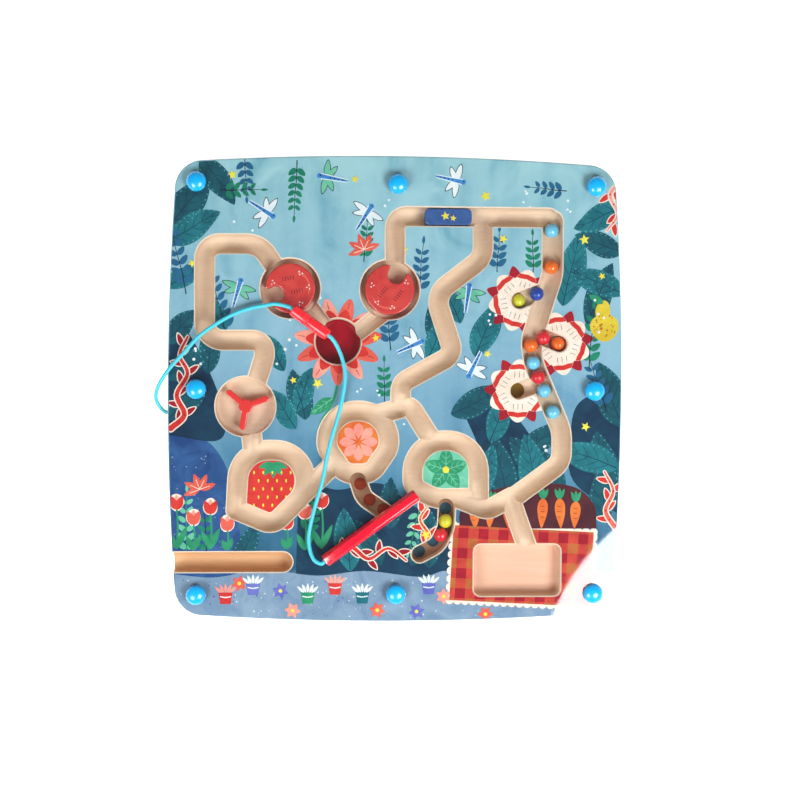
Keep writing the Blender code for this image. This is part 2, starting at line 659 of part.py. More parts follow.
def build_fasteners():
    """Screws through the cover, each under a domed cap that snaps over its head."""
    head_base = COVER_TOP + SEAT_GAP
    head_top = head_base + SCREW_HEAD_HEIGHT
    tip = head_base - SCREW_LENGTH
    shank = SCREW_SHANK_DIAMETER / 2
    head = SCREW_HEAD_DIAMETER / 2
    screw = [(0, tip), (shank, tip + SCREW_TIP), (shank, head_base), (head, head_base),
             (head, head_top - SCREW_HEAD_EDGE), (head - SCREW_HEAD_EDGE, head_top), (0, head_top)]
    cap_radius = CAP_DIAMETER / 2
    hollow = head + CAP_HOLLOW_PLAY / 2
    roof = head_top + CAP_ROOF_GAP
    rim = head_base + CAP_RIM_HEIGHT
    dome = [(cap_radius * math.cos(a), rim + (CAP_HEIGHT - CAP_RIM_HEIGHT) * math.sin(a))
            for a in (math.pi / 2 * step / 4 for step in range(4))]
    cap = [(0, roof), (hollow, roof), (hollow, head_base), (cap_radius - CAP_RIM_EDGE, head_base),
           (cap_radius, head_base + CAP_RIM_EDGE)] + dome + [(0, head_base + CAP_HEIGHT)]
    for name, place in screw_places().items():
        fastener = turned_piece("cover_screw_" + name, screw, STEEL, steps=8)
        fastener.location = (place.x, place.y, 0)
        cover = turned_piece("cover_cap_" + name, cap, BLUE_CAP, steps=14)
        cover.location = (place.x, place.y, 0)


# Moving pieces under the cover

def notched_outline(inset):
    """A disc with a round-bottomed notch open to its rim, notch along +X."""
    rim = DISC_DIAMETER / 2 - inset
    notch = NOTCH_DIAMETER / 2 + inset
    lip = NOTCH_LIP_RADIUS - inset
    lip_y = notch + lip
    lip_x = math.sqrt((rim - lip) ** 2 - lip_y ** 2)
    lean = math.atan2(lip_y, lip_x)
    body = arc((0, 0), rim, lean, 2 * math.pi - lean, 22)
    lower_lip = arc((lip_x, -lip_y), lip, -lean, math.pi / 2, 3)[1:]
    hollow = arc((NOTCH_CENTRE, 0), notch, -math.pi / 2, -3 * math.pi / 2, 8)
    upper_lip = arc((lip_x, lip_y), lip, -math.pi / 2, lean, 3)[:-1]
    return body + lower_lip + hollow + upper_lip


def build_disc(side, share, heading):
    """A notched disc that turns on a pin and lets one ball through at a time."""
    base = CHAMBER_FLOOR + SEAT_GAP
    top = PANEL_THICKNESS - DISC_TOP_DROP
    outlines = [notched_outline(inset) for inset in (DISC_EDGE, 0, 0, DISC_EDGE)]
    bm = bmesh.new()
    loft(bm, stack(outlines, (base, base + DISC_EDGE, top - DISC_EDGE, top)))
    disc = piece_from(bm, "disc_" + side, RED_DISC)
    disc.location = at_share(share).to_3d()
    disc.rotation_euler = (0, 0, heading)
    bore_top = top - PIN_TOP_DROP + SEAT_GAP
    bore = drilled("cut_disc_bore_" + side, (0, 0), PIN_HOLE_DIAMETER, base - OVERRUN, bore_top)
    bore.parent = disc
    combine(disc, bore, "DIFFERENCE")
    build_pin("disc_pin_" + side, share, top - PIN_TOP_DROP)


def build_pin(name, share, top):
    """A steel pin that stands in the panel and carries what turns."""
    base = PIN_HOLE_FLOOR + SEAT_GAP
    pin = turned_piece(name, rod_profile(PIN_DIAMETER / 2, base, top, PIN_EDGE), STEEL, steps=12)
    pin.location = at_share(share).to_3d()


def arms_outline(inset):
    """Three round-ended arms on a round hub."""
    hub = SPINNER_HUB_DIAMETER / 2 - inset
    half = SPINNER_ARM_WIDTH / 2 - inset
    tip = SPINNER_REACH - SPINNER_ARM_WIDTH / 2
    root = math.asin(half / hub)
    third = 2 * math.pi / 3
    points = []
    for index in range(3):
        turn = Matrix.Rotation(third * index, 2)
        arm = [Vector((hub * math.cos(root), -half))] + arc((tip, 0), half, -math.pi / 2,
                                                           math.pi / 2, 6)
        hub_arc = arc((0, 0), hub, root, third - root, 5)[:-1]
        points += [turn @ p for p in arm + hub_arc]
    return points


def build_spinner():
    """The three-armed spinner, with a boss under its hub that stands on the room's floor."""
    top = PANEL_THICKNESS - SPINNER_ARM_DROP
    base = top - SPINNER_ARM_THICKNESS
    foot = CHAMBER_FLOOR + SEAT_GAP
    outlines = [arms_outline(inset) for inset in (SPINNER_EDGE, 0, 0, SPINNER_EDGE)]
    bm = bmesh.new()
    loft(bm, stack(outlines, (base, base + SPINNER_EDGE, top - SPINNER_EDGE, top)))
    spinner = piece_from(bm, "spinner", RED_SPINNER)
    spinner.location = at_share(SPINNER_ROOM_SHARE).to_3d()
    spinner.rotation_euler = (0, 0, SPINNER_HEADING)
    boss = drilled("add_spinner_boss", (0, 0), SPINNER_BOSS_DIAMETER, foot,
                   top - SPINNER_ARM_THICKNESS / 2)
    pin_top = top - SPINNER_PIN_DROP
    bore = drilled("cut_spinner_bore", (0, 0), PIN_HOLE_DIAMETER, foot - OVERRUN, pin_top + SEAT_GAP)
    boss.parent = spinner
    bore.parent = spinner
    combine(spinner, boss, "UNION")
    combine(spinner, bore, "DIFFERENCE")
    build_pin("spinner_pin", SPINNER_ROOM_SHARE, pin_top)


def build_slider(top_run):
    """The slider: a block with round corners whose underside follows the channel's round floor."""
    place = Vector((SLIDER_X_SHARE * BOARD_WIDTH, top_run[-1][0].y))
    width = GROOVE_WIDTH - SLIDER_SIDE_PLAY
    floor = PANEL_THICKNESS - GROOVE_DEPTH
    top = PANEL_THICKNESS - SLIDER_TOP_DROP
    outline = round_box(SLIDER_LENGTH, width, SLIDER_CORNER_RADIUS)
    drawn_in = round_box(SLIDER_LENGTH - 2 * SLIDER_EDGE, width - 2 * SLIDER_EDGE,
                         SLIDER_CORNER_RADIUS - SLIDER_EDGE)
    bm = bmesh.new()
    loft(bm, stack((outline, outline, drawn_in), (floor, top - SLIDER_EDGE, top)))
    slider = piece_from(bm, "slider_block", SLIDER_BLUE)
    slider.location = (place.x, place.y, 0)
    middle = floor + GROOVE_WIDTH / 2
    radius = GROOVE_WIDTH / 2 - SLIDER_BOTTOM_PLAY
    half_length = SLIDER_LENGTH / 2 + OVERRUN
    round_floor = arc((0, middle), radius, math.pi, 2 * math.pi, 2 * FLOOR_STEPS)
    section = round_floor + [Vector((radius, top + OVERRUN)), Vector((-radius, top + OVERRUN))]
    bm = bmesh.new()
    loft(bm, [[(x, p.x, p.y) for p in section] for x in (-half_length, half_length)])
    keel = piece_from(bm, "keep_slider_underside", None)
    keel.parent = slider
    combine(slider, keel, "INTERSECT")


def ball_places(lines):
    """Where each ball lies: on its channel's centreline, in queues, or in a pocket."""
    drop = {"groove": GROOVE_DEPTH, "pocket": MOUTH_DEPTH, "slot": SLOT_DEPTH}
    height = {floor: PANEL_THICKNESS - depth + SEAT_GAP + BALL_DIAMETER / 2
              for floor, depth in drop.items()}
    right, lower, slot = lines["right_run"], lines["lower_run"], lines["slot_c"]
    first = along(right, BALL_01_SHARE * run_length(right))
    second = along(right, BALL_02_SHARE * run_length(right))
    pocket_1, pocket_2 = lines["mouth_1"][0][0], lines["mouth_2"][0][0]
    third = along(lines["mouth_1"], BALL_DIAMETER + POCKET_1_GAP)
    fifth = along(lines["mouth_2"], BALL_DIAMETER + POCKET_2_GAP)
    start = lower[0][0]
    aside = fifth.x - start.x
    fall = math.sqrt(max((BALL_DIAMETER + CORNER_GAP) ** 2 - aside ** 2, 0))
    queue_start = start.y - (fifth.y - fall)
    eighth = queue_start + BALL_DIAMETER + LOOSE_GAP
    ninth = eighth + BALL_DIAMETER + QUEUE_GAP
    tenth = ninth + BALL_DIAMETER + QUEUE_GAP
    twelfth = BALL_12_SHARE * run_length(slot)
    spots = (("light_blue", first, "groove"), ("orange", second, "groove"),
             ("navy", third, "groove"), ("yellow", pocket_1, "pocket"), ("red", fifth, "groove"),
             ("orange", pocket_2, "pocket"), ("orange", along(lower, queue_start), "groove"),
             ("light_blue", along(lower, eighth), "groove"), ("red", along(lower, ninth), "groove"),
             ("light_blue", along(lower, tenth), "groove"),
             ("light_blue", along(lower, BALL_11_SHARE * run_length(lower)), "groove"),
             ("yellow", along(slot, twelfth), "slot"),
             ("red", along(slot, twelfth + BALL_DIAMETER + SLOT_GAP), "slot"))
    return [(colour, Vector((place.x, place.y, height[floor]))) for colour, place, floor in spots]


def build_balls(lines):
    """The thirteen coloured balls, in this order from the top of the board."""
    for index, (colour, place) in enumerate(ball_places(lines)):
        bm = bmesh.new()
        bmesh.ops.create_uvsphere(bm, u_segments=12, v_segments=7, radius=BALL_DIAMETER / 2)
        look = ("ball_" + colour, BALL_COLOURS[colour], 0.25, 0.0)
        ball = piece_from(bm, "ball_%02d" % (index + 1), look)
        ball.location = place


# Cord, clasp and pen

def smooth_route(points, step):
    """Even points along a smooth curve through a cord's route, its two ends kept."""
    places = [Vector(p) for p in points]
    padded = [2 * places[0] - places[1]] + places + [2 * places[-1] - places[-2]]
    dense = []
    for a, b, c, d in zip(padded, padded[1:], padded[2:], padded[3:]):
        for part in range(12):
            t = part / 12
            dense.append(0.5 * (2 * b + (c - a) * t + (2 * a - 5 * b + 4 * c - d) * t ** 2
                                + (3 * b - a - 3 * c + d) * t ** 3))
    dense.append(places[-1])
    total = sum((b - a).length for a, b in zip(dense, dense[1:]))
    count = max(2, round(total / step))
    even = [dense[0]]
    passed = 0
    for a, b in zip(dense, dense[1:]):
        passed += (b - a).length
        if passed >= total * len(even) / count and len(even) < count:
            even.append(b)
    return even + [dense[-1]]


def build_cord(name, points):
    """One free stretch of cord as a round tube."""
    curve = bpy.data.curves.new(name, "CURVE")
    curve.dimensions = "3D"
    curve.bevel_depth = CORD_DIAMETER / 2
    curve.bevel_resolution = 2
    curve.use_fill_caps = True
    places = [Vector(points[0])] + smooth_route(points[1:-1], CORD_POINT_STEP) + [Vector(points[-1])]
    spline = curve.splines.new("POLY")
    spline.points.add(len(places) - 1)
    for point, place in zip(spline.points, places):
        point.co = (*place, 1)
    curve.materials.append(finish(*CORD_CYAN))
    cord = bpy.data.objects.new(name, curve)
    bpy.context.scene.collection.objects.link(cord)


def build_clasp():
    """The safety clasp: a plug on the pen's cord that pulls out of a socket on the board's."""
    radius = CLASP_DIAMETER / 2
    bore = CORD_BORE_DIAMETER / 2
    spigot = CLASP_SPIGOT_DIAMETER / 2
    socket_bore = spigot + CLASP_SPIGOT_PLAY / 2
    bore_end = CLASP_SOCKET_LENGTH - CLASP_SPIGOT_LENGTH - SEAT_GAP
    length = CLASP_PLUG_LENGTH
    socket_profile = [(0, CLASP_CORD_BORE_DEPTH), (bore, CLASP_CORD_BORE_DEPTH), (bore, 0),
                      (radius - CLASP_END_ROUND, 0), (radius, CLASP_END_ROUND),
                      (radius, CLASP_SOCKET_LENGTH - CLASP_SEAM_EDGE),
                      (radius - CLASP_SEAM_EDGE, CLASP_SOCKET_LENGTH),
                      (socket_bore, CLASP_SOCKET_LENGTH), (socket_bore, bore_end), (0, bore_end)]
    plug_profile = [(0, SEAT_GAP - CLASP_SPIGOT_LENGTH),
                    (spigot - CLASP_SEAM_EDGE, SEAT_GAP - CLASP_SPIGOT_LENGTH),
                    (spigot, SEAT_GAP + CLASP_SEAM_EDGE - CLASP_SPIGOT_LENGTH), (spigot, 0),
                    (radius - CLASP_SEAM_EDGE, 0), (radius, CLASP_SEAM_EDGE),
                    (radius, length - CLASP_END_ROUND), (radius - CLASP_END_ROUND, length),
                    (bore, length), (bore, length - CLASP_CORD_BORE_DEPTH),
                    (0, length - CLASP_CORD_BORE_DEPTH)]
    place = at_share(CLASP_SHARE).to_3d() + Vector((0, 0, COVER_TOP + SEAT_GAP + radius))
    axis = Vector((math.cos(CLASP_HEADING), math.sin(CLASP_HEADING), 0))
    socket = turned_piece("clasp_socket", socket_profile, RED_CLASP, steps=16)
    stand_along(socket, place, CLASP_HEADING)
    seam = place + axis * (CLASP_SOCKET_LENGTH + SEAT_GAP)
    plug = turned_piece("clasp_plug", plug_profile, RED_CLASP, steps=16)
    stand_along(plug, seam, CLASP_HEADING)
    return place, seam + axis * length, axis


def build_pen():
    """The six-sided pen, with a magnet let into its tip."""
    radius = PEN_ACROSS_CORNERS / 2
    small = radius - PEN_END_CHAMFER
    corners = [Vector((math.cos(a), math.sin(a))) for a in (math.pi / 3 * n for n in range(6))]
    steps = ((small, 0), (radius, PEN_END_CHAMFER), (radius, PEN_LENGTH - PEN_END_CHAMFER),
             (small, PEN_LENGTH))
    bm = bmesh.new()
    loft(bm, stack([[corner * size for corner in corners] for size, _ in steps],
                   [z for _, z in steps]))
    barrel = piece_from(bm, "pen_barrel", RED_PEN, math.radians(20))
    apothem = radius * math.cos(math.pi / 6)
    place = at_share(PEN_SHARE).to_3d() + Vector((0, 0, COVER_TOP + SEAT_GAP + apothem))
    stand_along(barrel, place, PEN_HEADING)
    bore_end = PEN_LENGTH - MAGNET_LENGTH - 2 * SEAT_GAP
    bore = drilled("cut_magnet_bore", (0, 0), MAGNET_DIAMETER + MAGNET_PLAY, bore_end,
                   PEN_LENGTH + OVERRUN)
    stand_along(bore, place, PEN_HEADING)
    combine(barrel, bore, "DIFFERENCE")
    magnet = turned_piece("pen_magnet", rod_profile(MAGNET_DIAMETER / 2, bore_end + SEAT_GAP,
                                                    PEN_LENGTH - SEAT_GAP, MAGNET_EDGE),
                          STEEL, steps=12)
    stand_along(magnet, place, PEN_HEADING)
    return place


def build_cords(clasp_start, clasp_end, clasp_axis, pen_place):
    """The two stretches of cord, into their bores and up to the pen's end."""
    hole = Vector((-BOARD_WIDTH / 2, CORD_HOLE_Y_SHARE * BOARD_LENGTH, CORD_HOLE_HEIGHT))
    into_board = Vector((1, 0, 0))
    tuck = CLASP_CORD_BORE_DEPTH - SEAT_GAP
    straight = CORD_DIAMETER
    pen_axis = Vector((math.cos(PEN_HEADING), math.sin(PEN_HEADING), 0))
    from_board = [hole + into_board * (CORD_HOLE_DEPTH - SEAT_GAP), hole + into_board * straight,
                  hole - into_board * straight / 2]
    to_clasp = [clasp_start - clasp_axis * straight, clasp_start,
                clasp_start + clasp_axis * tuck]
    from_clasp = [clasp_end - clasp_axis * tuck, clasp_end, clasp_end + clasp_axis * straight]
    pen_end = pen_place - pen_axis * SEAT_GAP
    to_pen = [pen_end - pen_axis * straight, pen_end]
    build_cord("cord_board_side", from_board + list(BOARD_SIDE_ROUTE) + to_clasp)
    build_cord("cord_pen_side", from_clasp + list(PEN_SIDE_ROUTE) + to_pen)


clear_scene()
channel_lines = build_panel()
build_cover()
build_fasteners()
build_disc("left", CHAMBER_LEFT_SHARE, NOTCH_LEFT_HEADING)
build_disc("right", CHAMBER_RIGHT_SHARE, NOTCH_RIGHT_HEADING)
build_spinner()
build_slider(channel_lines["top_run"])
build_balls(channel_lines)
clasp_near, clasp_far, clasp_line = build_clasp()
pen_rear = build_pen()
build_cords(clasp_near, clasp_far, clasp_line, pen_rear)
bpy.context.view_layer.update()
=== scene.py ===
import random
from math import asin, atan2, copysign, cos, degrees, pi, radians, sin, sqrt, tan

import bmesh
import bpy
from mathutils import Matrix, Vector


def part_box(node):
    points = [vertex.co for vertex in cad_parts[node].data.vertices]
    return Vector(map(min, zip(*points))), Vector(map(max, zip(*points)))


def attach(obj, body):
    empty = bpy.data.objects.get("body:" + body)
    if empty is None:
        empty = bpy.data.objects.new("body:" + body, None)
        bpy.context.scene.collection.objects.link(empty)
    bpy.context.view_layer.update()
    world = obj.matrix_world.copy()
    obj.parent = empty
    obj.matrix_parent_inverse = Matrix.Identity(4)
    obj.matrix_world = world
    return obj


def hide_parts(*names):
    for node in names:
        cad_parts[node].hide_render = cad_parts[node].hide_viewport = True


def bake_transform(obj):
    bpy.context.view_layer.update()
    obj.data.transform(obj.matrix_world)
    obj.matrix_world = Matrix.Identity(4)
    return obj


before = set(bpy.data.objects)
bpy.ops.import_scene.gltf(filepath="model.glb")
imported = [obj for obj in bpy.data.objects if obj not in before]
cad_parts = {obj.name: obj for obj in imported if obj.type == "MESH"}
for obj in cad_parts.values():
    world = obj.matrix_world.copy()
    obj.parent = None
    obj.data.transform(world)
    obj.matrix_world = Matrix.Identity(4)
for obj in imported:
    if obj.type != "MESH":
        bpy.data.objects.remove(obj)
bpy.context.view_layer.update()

# The routed panel. A thick pale wooden board with bowed sides, in which a cutter has routed
# channels with round floors, flat-floored rooms, two basins and two slots. Its top is printed,
# its edges and channels are bare wood, and each routed lip is eased so that no edge is sharp.
# The eased lips take a paler wood, which is a painted highlight along each routed edge.
PANEL_LOW, PANEL_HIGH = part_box("maze_panel")
BOARD_WIDTH = PANEL_HIGH.x - PANEL_LOW.x
BOARD_LENGTH = PANEL_HIGH.y - PANEL_LOW.y
PANEL_TOP = PANEL_HIGH.z
SIDE_RADIUS = 1.885
CORNER_RADIUS = 0.0185
EDGE_ROUND = 0.0008
OVERRUN = 0.0003
LIP = 0.0007
GROOVE_WIDTH = 0.012
WIDE_WIDTH = 0.013
NARROW_WIDTH = 0.0106
GROOVE_DEPTH = 0.0103
SLOT_DEPTH = 0.0120
SLOT_FLOOR_RADIUS = 0.002
POCKET_DEPTH = 0.0113
POCKET_FLOOR_RADIUS = 0.0012
SPOT_RADIUS = 0.0042
SPOT_DEPTH = 0.0007
ROOM_RADIUS = 0.0195
ROOM_DEPTH = 0.0106
ROOM_FLOOR_RADIUS = 0.0015
ROUND_BASIN_RADIUS = 0.015
BASIN_WIDTH = 0.0578
BASIN_LENGTH = 0.0341
BASIN_CORNER_RADIUS = 0.0046
BASIN_FLOOR_RADIUS = 0.003
BASIN_DEPTH = 0.0105
PEN_GROOVE_WIDTH = 0.0128
PEN_GROOVE_DEPTH = 0.0104
PIN_HOLE_RADIUS = 0.0023
PIN_HOLE_DEPTH = 0.0030
PILOT_RADIUS = 0.0019
PILOT_DEPTH = 0.0104
CORD_HOLE_RADIUS = 0.0016
CORD_HOLE_DEPTH = 0.009
CORD_HOLE_HEIGHT = 0.0075
CORD_HOLE_Y_SHARE = -0.051
ARC_STEP = radians(7.5)
FLOOR_STEPS = 7
NOSE_STEPS = 20
OUTLINE_STEPS = 10
ROUND_STEPS = 64
SPOT_STEPS = 32
HOLE_STEPS = 24
PILOT_STEPS = 20
LIP_SHARES = ((0.4, 0.2), (0.1, 0.6), (0, 1.3))
EASE_SHARE = 0.3
SHARP_ANGLE = radians(35)
LEVEL = 0.9999

# The channels' centrelines: places as shares of the board's width and length from its middle,
# each with the radius of its bend as a share of the width.
CHANNELS = {
    "left_loop": ((-0.247, 0.231, 0), (-0.301, 0.31, 0.053), (-0.42, 0.309, 0.033),
        (-0.42, 0.104, 0.04), (-0.29, 0.105, 0.024), (-0.29, 0.069, 0.031), (-0.32, -0.024, 0)),
    "neck": ((-0.322, -0.057, 0), (-0.313, -0.136, 0)),
    "ring_a": ((-0.351, -0.259, 0), (-0.344, -0.131, 0.066), (-0.201, -0.13, 0.066),
        (-0.2, -0.222, 0.064), (-0.27, -0.292, 0.033), (-0.345, -0.261, 0)),
    "link_ab": ((-0.209, -0.229, 0), (-0.132, -0.155, 0)),
    "ring_b": ((-0.017, -0.045, 0.066), (-0.016, -0.125, 0.044), (-0.055, -0.181, 0.037),
        (-0.114, -0.181, 0.037), (-0.153, -0.125, 0.044), (-0.153, -0.046, 0.066)),
    "link_jb": ((0.0078, -0.0405, 0), (-0.043, -0.054, 0)),
    "link_jc": ((0.0102, -0.031, 0), (0.033, -0.039, 0.026), (0.075, -0.103, 0)),
    "ring_c": ((0.183, -0.232, 0), (0.182, -0.109, 0.07), (0.036, -0.109, 0.07),
        (0.037, -0.211, 0.031), (0.089, -0.235, 0.066), (0.164, -0.233, 0)),
    "bowl": ((0.142, -0.236, 0), (0.203, -0.26, 0.031), (0.257, -0.231, 0)),
    "wave_run": ((0.188, 0.368, 0), (0.189, 0.285, 0.044), (0.083, 0.205, 0.048),
        (0.126, 0.077, 0.029), (0.009, 0.014, 0.031), (0.009, -0.038, 0)),
    "top_run": ((-0.005, 0.242, 0), (-0.005, 0.372, 0.024), (0.334, 0.372, 0)),
    "right_run": ((0.343, 0.365, 0), (0.343, 0.251, 0.066), (0.299, 0.112, 0.057),
        (0.299, 0.092, 0)),
    "lower_run": ((0.299, 0.116, 0), (0.299, 0.067, 0.127), (0.367, -0.088, 0.088),
        (0.367, -0.156, 0.044), (0.257, -0.235, 0)),
    "basin_run": ((0.255, -0.239, 0), (0.293, -0.343, 0)),
    "mouth_1": ((0.271, 0.194, 0), (0.328, 0.216, 0)),
    "mouth_2": ((0.36, 0.101, 0), (0.307, 0.122, 0)),
    "mouth_3": ((0.27, -0.001, 0), (0.317, 0.015, 0)),
    "link_left": ((-0.218, 0.209, 0), (-0.155, 0.124, 0)),
    "link_right": ((-0.017, 0.175, 0), (-0.1, 0.112, 0)),
    "slot_b": ((-0.083, -0.198, 0), (-0.071, -0.232, 0.04), (-0.025, -0.263, 0)),
    "slot_c": ((0.113, -0.255, 0), (0.111, -0.297, 0.048), (0.092, -0.335, 0.04),
        (0.053, -0.355, 0)),
    "pen_groove": ((-0.513, -0.371, 0), (-0.249, -0.371, 0)),
}
CROSSING_RINGS = ("ring_a", "ring_c")
NARROW_CHANNELS = ("mouth_1", "mouth_2", "mouth_3", "link_right", "slot_b", "slot_c")
ROOM_SHARES = ((-0.234, 0.216), (-0.016, 0.215), (-0.331, -0.037))
ROUND_BASIN_SHARE = (-0.129, 0.103)
BASIN_SHARE = (0.27, -0.39)
SLOT_B_SPOT_SHARES = ((-0.078, -0.206), (-0.057, -0.241), (-0.026, -0.262))
SLOT_C_SPOT_SHARES = ((0.113, -0.26), (0.104, -0.297), (0.085, -0.33), (0.054, -0.354))
SCREW_X_SHARE = 0.437
SCREW_Y_SHARE = 0.439


def at_share(share):
    """A place on the board from its shares of width and length."""
    return Vector((share[0] * BOARD_WIDTH, share[1] * BOARD_LENGTH))


def arc(centre, radius, start, end, steps):
    """Points of an arc about a 2D centre, both ends included."""
    angles = [start + (end - start) * step / steps for step in range(steps + 1)]
    return [Vector((centre[0] + radius * cos(a), centre[1] + radius * sin(a)))
            for a in angles]


def board_outline(inset):
    """The board's bowed square, counter-clockwise, drawn in by inset."""
    reach_x = SIDE_RADIUS - BOARD_WIDTH / 2
    reach_y = SIDE_RADIUS - BOARD_LENGTH / 2
    half_chord = Vector((reach_x, -reach_y)) / 2
    rise = sqrt((SIDE_RADIUS - CORNER_RADIUS) ** 2 - half_chord.length_squared)
    corner = -Vector((reach_x, reach_y)) / 2 + Vector((reach_y, reach_x)).normalized() * rise
    side_end = atan2(corner.y, corner.x + reach_x)
    top_start = atan2(corner.y + reach_y, corner.x)
    side = arc((-reach_x, 0), SIDE_RADIUS - inset, 0, side_end, OUTLINE_STEPS)
    turn = arc(corner, CORNER_RADIUS - inset, side_end, top_start, OUTLINE_STEPS)
    top = arc((0, -reach_y), SIDE_RADIUS - inset, top_start, pi / 2, OUTLINE_STEPS)
    quarter = side + turn[1:] + top[1:]
    upper = quarter + [Vector((-p.x, p.y)) for p in reversed(quarter[:-1])]
    return upper + [Vector((p.x, -p.y)) for p in reversed(upper[1:-1])]


def round_box(width, length, radius, steps=FLOOR_STEPS):
    """A rectangle with round corners about the origin, counter-clockwise."""
    points = []
    for index, (sx, sy) in enumerate(((1, 1), (-1, 1), (-1, -1), (1, -1))):
        centre = (sx * (width / 2 - radius), sy * (length / 2 - radius))
        start = index * pi / 2
        points += arc(centre, radius, start, start + pi / 2, steps)
    return points


def routed_profile(half, depth, floor_radius):
    """Half of a routed section: eased lip, wall, round foot and the floor's middle."""
    profile = [(half + LIP + 3 * OVERRUN, PANEL_TOP + OVERRUN)]
    profile += [(half + LIP * out, PANEL_TOP - LIP * down) for out, down in LIP_SHARES]
    floor = PANEL_TOP - depth
    radius = min(floor_radius, half)
    for step in range(FLOOR_STEPS):
        angle = pi / 2 * step / FLOOR_STEPS
        profile.append((half - radius + radius * cos(angle),
                        floor + radius - radius * sin(angle)))
    if half > radius:
        profile.append((half - radius, floor))
    profile.append((0, floor))
    return profile


def route(shares, least_radius, closed):
    """A channel's centreline: straight legs joined by arcs, as (point, heading) pairs."""
    places = [at_share(share[:2]) for share in shares]
    samples = []
    for index, place in enumerate(places):
        inward = (place - places[index - 1]).normalized()
        onward = (places[(index + 1) % len(places)] - place).normalized()
        if not closed and index in (0, len(places) - 1):
            samples.append((place, onward if index == 0 else inward))
            continue
        turn = atan2(inward.x * onward.y - inward.y * onward.x, inward.dot(onward))
        side = copysign(1, turn)
        radius = max(shares[index][2] * BOARD_WIDTH, least_radius)
        start = place - inward * radius * tan(abs(turn) / 2)
        centre = start + side * radius * Vector((-inward.y, inward.x))
        steps = max(2, round(abs(turn) / ARC_STEP))
        for step in range(steps + 1):
            heading = Matrix.Rotation(turn * step / steps, 2) @ inward
            samples.append((centre - side * radius * Vector((-heading.y, heading.x)), heading))
    return samples


def shade(mesh, sharp=SHARP_ANGLE):
    """Smooth shading that keeps sharp edges, and keeps level faces level up to their rims."""
    mesh.shade_smooth()
    mesh.set_sharp_from_angle(angle=sharp)
    bm = bmesh.new()
    bm.from_mesh(mesh)
    for edge in bm.edges:
        level = [abs(face.normal.z) > LEVEL for face in edge.link_faces]
        if any(level) and not all(level):
            edge.smooth = False
    bm.to_mesh(mesh)
    bm.free()


def shown(name, data):
    """An object of some data, in the scene."""
    piece = bpy.data.objects.new(name, data)
    bpy.context.scene.collection.objects.link(piece)
    return piece


def piece_from(bm, name, material=None, sharp=SHARP_ANGLE):
    """Turn a bmesh into a piece, faces outward, shaded smooth with its sharp edges kept."""
    bmesh.ops.recalc_face_normals(bm, faces=bm.faces)
    mesh = bpy.data.meshes.new(name)
    bm.to_mesh(mesh)
    bm.free()
    shade(mesh, sharp)
    if material:
        mesh.materials.append(material)
    return shown(name, mesh)


def skin(bm, rings, closed=False):
    """Faces between rings of vertices, and from the last ring to the first if closed."""
    for low, high in zip(rings, rings[1:] + rings[:1] if closed else rings[1:]):
        for index in range(len(low)):
            after = (index + 1) % len(low)
            bm.faces.new((low[index], low[after], high[after], high[index]))


def stack(outlines, heights):
    """Rings of an outline at rising heights, for a loft."""
    return [[(p.x, p.y, z) for p in outline] for outline, z in zip(outlines, heights)]


def lofted(name, *stacks, material=None, sharp=SHARP_ANGLE):
    """A piece skinned over stacks of rings of points, with a cap at each stack's two ends."""
    bm = bmesh.new()
    for rings in stacks:
        layers = [[bm.verts.new(point) for point in ring] for ring in rings]
        skin(bm, layers)
        bm.faces.new(layers[0])
        bm.faces.new(layers[-1])
    return piece_from(bm, name, material, sharp)


def eased_slab(name, outline, edge, low, high):
    """A level piece with rounded edges, whose outline is a function of how far it is drawn in."""
    steps = ((edge, 0), (edge * EASE_SHARE, edge * EASE_SHARE), (0, edge))
    outlines = [outline(inset) for inset, _ in steps + steps[::-1]]
    heights = [low + rise for _, rise in steps] + [high - rise for _, rise in steps[::-1]]
    return lofted(name, stack(outlines, heights))


def turned(name, profile, centre=(0, 0), steps=48, material=None):
    """A piece turned from a profile that starts and ends on the vertical axis through centre."""
    bm = bmesh.new()
    poles = [bm.verts.new((centre[0], centre[1], profile[index][1])) for index in (0, -1)]
    angles = [2 * pi * step / steps for step in range(steps)]
    rings = [[bm.verts.new((centre[0] + radius * cos(a), centre[1] + radius * sin(a), z))
              for a in angles] for radius, z in profile[1:-1]]
    skin(bm, rings)
    for pole, ring in zip(poles, (rings[0], rings[-1])):
        for index in range(steps):
            bm.faces.new((pole, ring[index], ring[(index + 1) % steps]))
    return piece_from(bm, name, material)


def rod(radius, low, high):
    """Profile of a plain rod."""
    return [(0, low), (radius, low), (radius, high), (0, high)]


def round_end(bm, ring, point, outward, profile):
    """Close a swept groove with the round end that the routing bit leaves."""
    side = Vector((outward.y, -outward.x))
    span = len(profile) - 1
    top, floor = ring[0], ring[span + 1]
    first, last = ring[1:span + 1], ring[:span + 1:-1]
    if (first[0].co.xy - point).dot(side) < 0:
        first, last = last, first
    columns = [first]
    for step in range(1, NOSE_STEPS):
        angle = pi * step / NOSE_STEPS
        ray = side * cos(angle) + outward * sin(angle)
        columns.append([bm.verts.new((point.x + ray.x * u, point.y + ray.y * u, z))
                        for u, z in profile[:-1]])
    columns.append(last)
    for a, b in zip(columns, columns[1:]):
        bm.faces.new((top, a[0], b[0]))
        bm.faces.new((a[-1], floor, b[-1]))
        for index in range(span - 1):
            bm.faces.new((a[index], a[index + 1], b[index + 1], b[index]))


